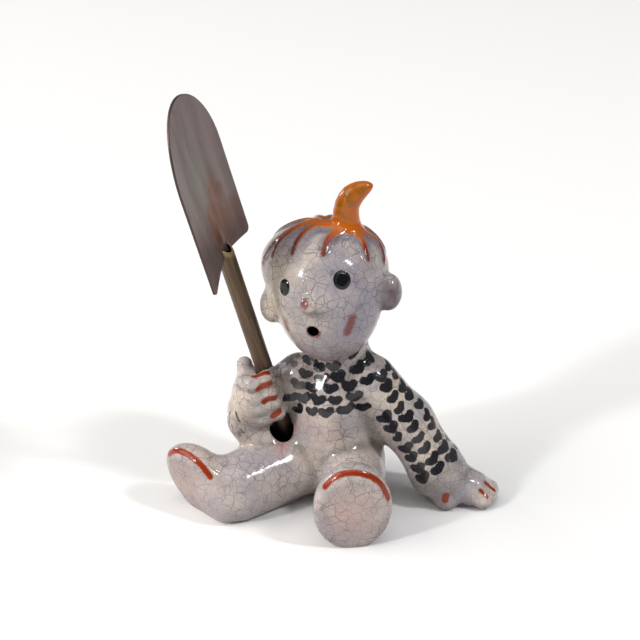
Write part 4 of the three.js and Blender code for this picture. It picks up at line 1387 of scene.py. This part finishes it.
class FIGURINE_OT_blade(bpy.types.Operator):
    """Make the spade's blade"""

    bl_idname = "figurine.blade"
    bl_label = "Spade blade"

    def execute(self, context):
        points = blade_points()
        flat = points.reshape(-1, 3)
        faces = grid_faces(*points.shape[:2])
        patina = metal_material("blade_patina", context.scene.figurine_blade)
        blade = new_piece("sheet_blade", in_place(flat), faces, patina)
        rim = np.zeros(points.shape[:2])
        rim[:1], rim[-1:], rim[:, :1], rim[:, -1:] = 1, 1, 1, 1
        keep_values(blade, {"rim": rim.ravel(), **stained(flat, BLADE_STAINS)})
        store_run(blade, flat)
        sheet = blade.modifiers.new("sheet", "SOLIDIFY")
        sheet.thickness = BLADE["thick"] * MM
        sheet.offset = 0
        round_edge = blade.modifiers.new("round_edge", "BEVEL")
        round_edge.width = BLADE["edge"] * MM
        round_edge.segments = 2
        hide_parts("spade_blade")
        return {"FINISHED"}


def store_run(piece, points):
    """Stores the places of the spade's own frame, as x, z and y, for patterns that follow the metal."""
    attribute = piece.data.attributes.new("run", "FLOAT_VECTOR", "POINT")
    attribute.data.foreach_set("vector", np.asarray(points[:, (0, 2, 1)], np.float32).ravel())


class FIGURINE_OT_studio(bpy.types.Operator):
    """Make the floor, the lights and the camera"""

    bl_idname = "figurine.studio"
    bl_label = "Studio"

    def execute(self, context):
        studio = context.scene.figurine_studio
        corners = np.array([(x, y, 0) for x, y in ((-1, -1), (1, -1), (1, 1), (-1, 1))]) * FLOOR_HALF
        floor = bpy.data.meshes.new("floor")
        floor.from_pydata([tuple(corner) for corner in corners], [], [(0, 1, 2, 3)])
        floor.materials.append(floor_material(studio))
        floor_object = bpy.data.objects.new("floor", floor)
        context.scene.collection.objects.link(floor_object)
        for light in LIGHTS:
            context.scene.collection.objects.link(lamp_from(light, studio.azimuth))
        world = bpy.data.worlds.new("studio")
        world.use_nodes = True
        world.node_tree.nodes["Background"].inputs["Color"].default_value = (1, 1, 1, 1)
        world.node_tree.nodes["Background"].inputs["Strength"].default_value = studio.daylight
        context.scene.world = world
        context.scene.view_settings.view_transform = "Standard"
        make_camera(context, studio)
        return {"FINISHED"}


def lamp_from(light, azimuth):
    """A rectangular lamp that faces the figure. Its power is pi times its area and radiance."""
    turn, up = azimuth + np.radians(light["round"]), np.radians(light["up"])
    way = Vector((np.sin(turn) * np.cos(up), -np.cos(turn) * np.cos(up), np.sin(up)))
    lamp = bpy.data.lights.new(light["name"], "AREA")
    lamp.shape = "RECTANGLE"
    lamp.size, lamp.size_y = light["size"]
    lamp.color = light.get("colour", (1, 1, 1))
    lamp.energy = np.pi * lamp.size * lamp.size_y * light["radiance"]
    lamp_object = bpy.data.objects.new(light["name"], lamp)
    facing = way.to_track_quat("Z", "Y").to_matrix().to_4x4()
    lamp_object.matrix_world = Matrix.Translation(AIM + way * light["far"]) @ facing
    return lamp_object


def make_camera(context, studio):
    """A camera at an azimuth and an elevation, so that the origin falls on its place in the picture."""
    a, e = studio.azimuth, studio.elevation
    right = Vector((np.cos(a), np.sin(a), 0))
    back = Vector((np.sin(a) * np.cos(e), -np.cos(a) * np.cos(e), np.sin(e)))
    up = back.cross(right)
    across, above = ORIGIN_IN_PICTURE
    target = (-right * across - up * above) * studio.picture_width
    camera = bpy.data.cameras.new("camera")
    camera.sensor_width = SENSOR_WIDTH
    camera.lens = camera.sensor_width * studio.distance / studio.picture_width
    camera_object = bpy.data.objects.new("camera", camera)
    turn = Matrix((right, up, back)).transposed().to_4x4()
    camera_object.matrix_world = Matrix.Translation(target + back * studio.distance) @ turn
    context.scene.collection.objects.link(camera_object)
    context.scene.camera = camera_object


class FIGURINE_PT_panel(bpy.types.Panel):
    """The figurine's operators and settings"""

    bl_idname = "FIGURINE_PT_panel"
    bl_label = "Figurine"
    bl_space_type = "VIEW_3D"
    bl_region_type = "UI"
    bl_category = "Figurine"

    def draw(self, context):
        for operator in OPERATORS:
            self.layout.operator(operator.bl_idname)
        for name, group in SETTINGS.items():
            box = self.layout.box()
            for prop in group.__annotations__:
                box.prop(getattr(context.scene, name), prop)


OPERATORS = (FIGURINE_OT_child, FIGURINE_OT_shaft, FIGURINE_OT_blade, FIGURINE_OT_studio)
SETTINGS = {
    "figurine_glaze": GlazeSettings,
    "figurine_shaft": ShaftSettings,
    "figurine_blade": BladeSettings,
    "figurine_studio": StudioSettings,
}
CLASSES = (*SETTINGS.values(), *OPERATORS, FIGURINE_PT_panel)


def register():
    """Adds the classes, and the settings of each scene."""
    for cls in CLASSES:
        bpy.utils.register_class(cls)
    for name, group in SETTINGS.items():
        setattr(bpy.types.Scene, name, bpy.props.PointerProperty(type=group))


def unregister():
    """Takes away what register adds."""
    for name in SETTINGS:
        delattr(bpy.types.Scene, name)
    for cls in reversed(CLASSES):
        bpy.utils.unregister_class(cls)


def main():
    """Makes every piece and the studio."""
    register()
    for operator in OPERATORS:
        module, name = operator.bl_idname.split(".")
        getattr(getattr(bpy.ops, module), name)()
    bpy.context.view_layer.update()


if __name__ == "__main__":
    main()
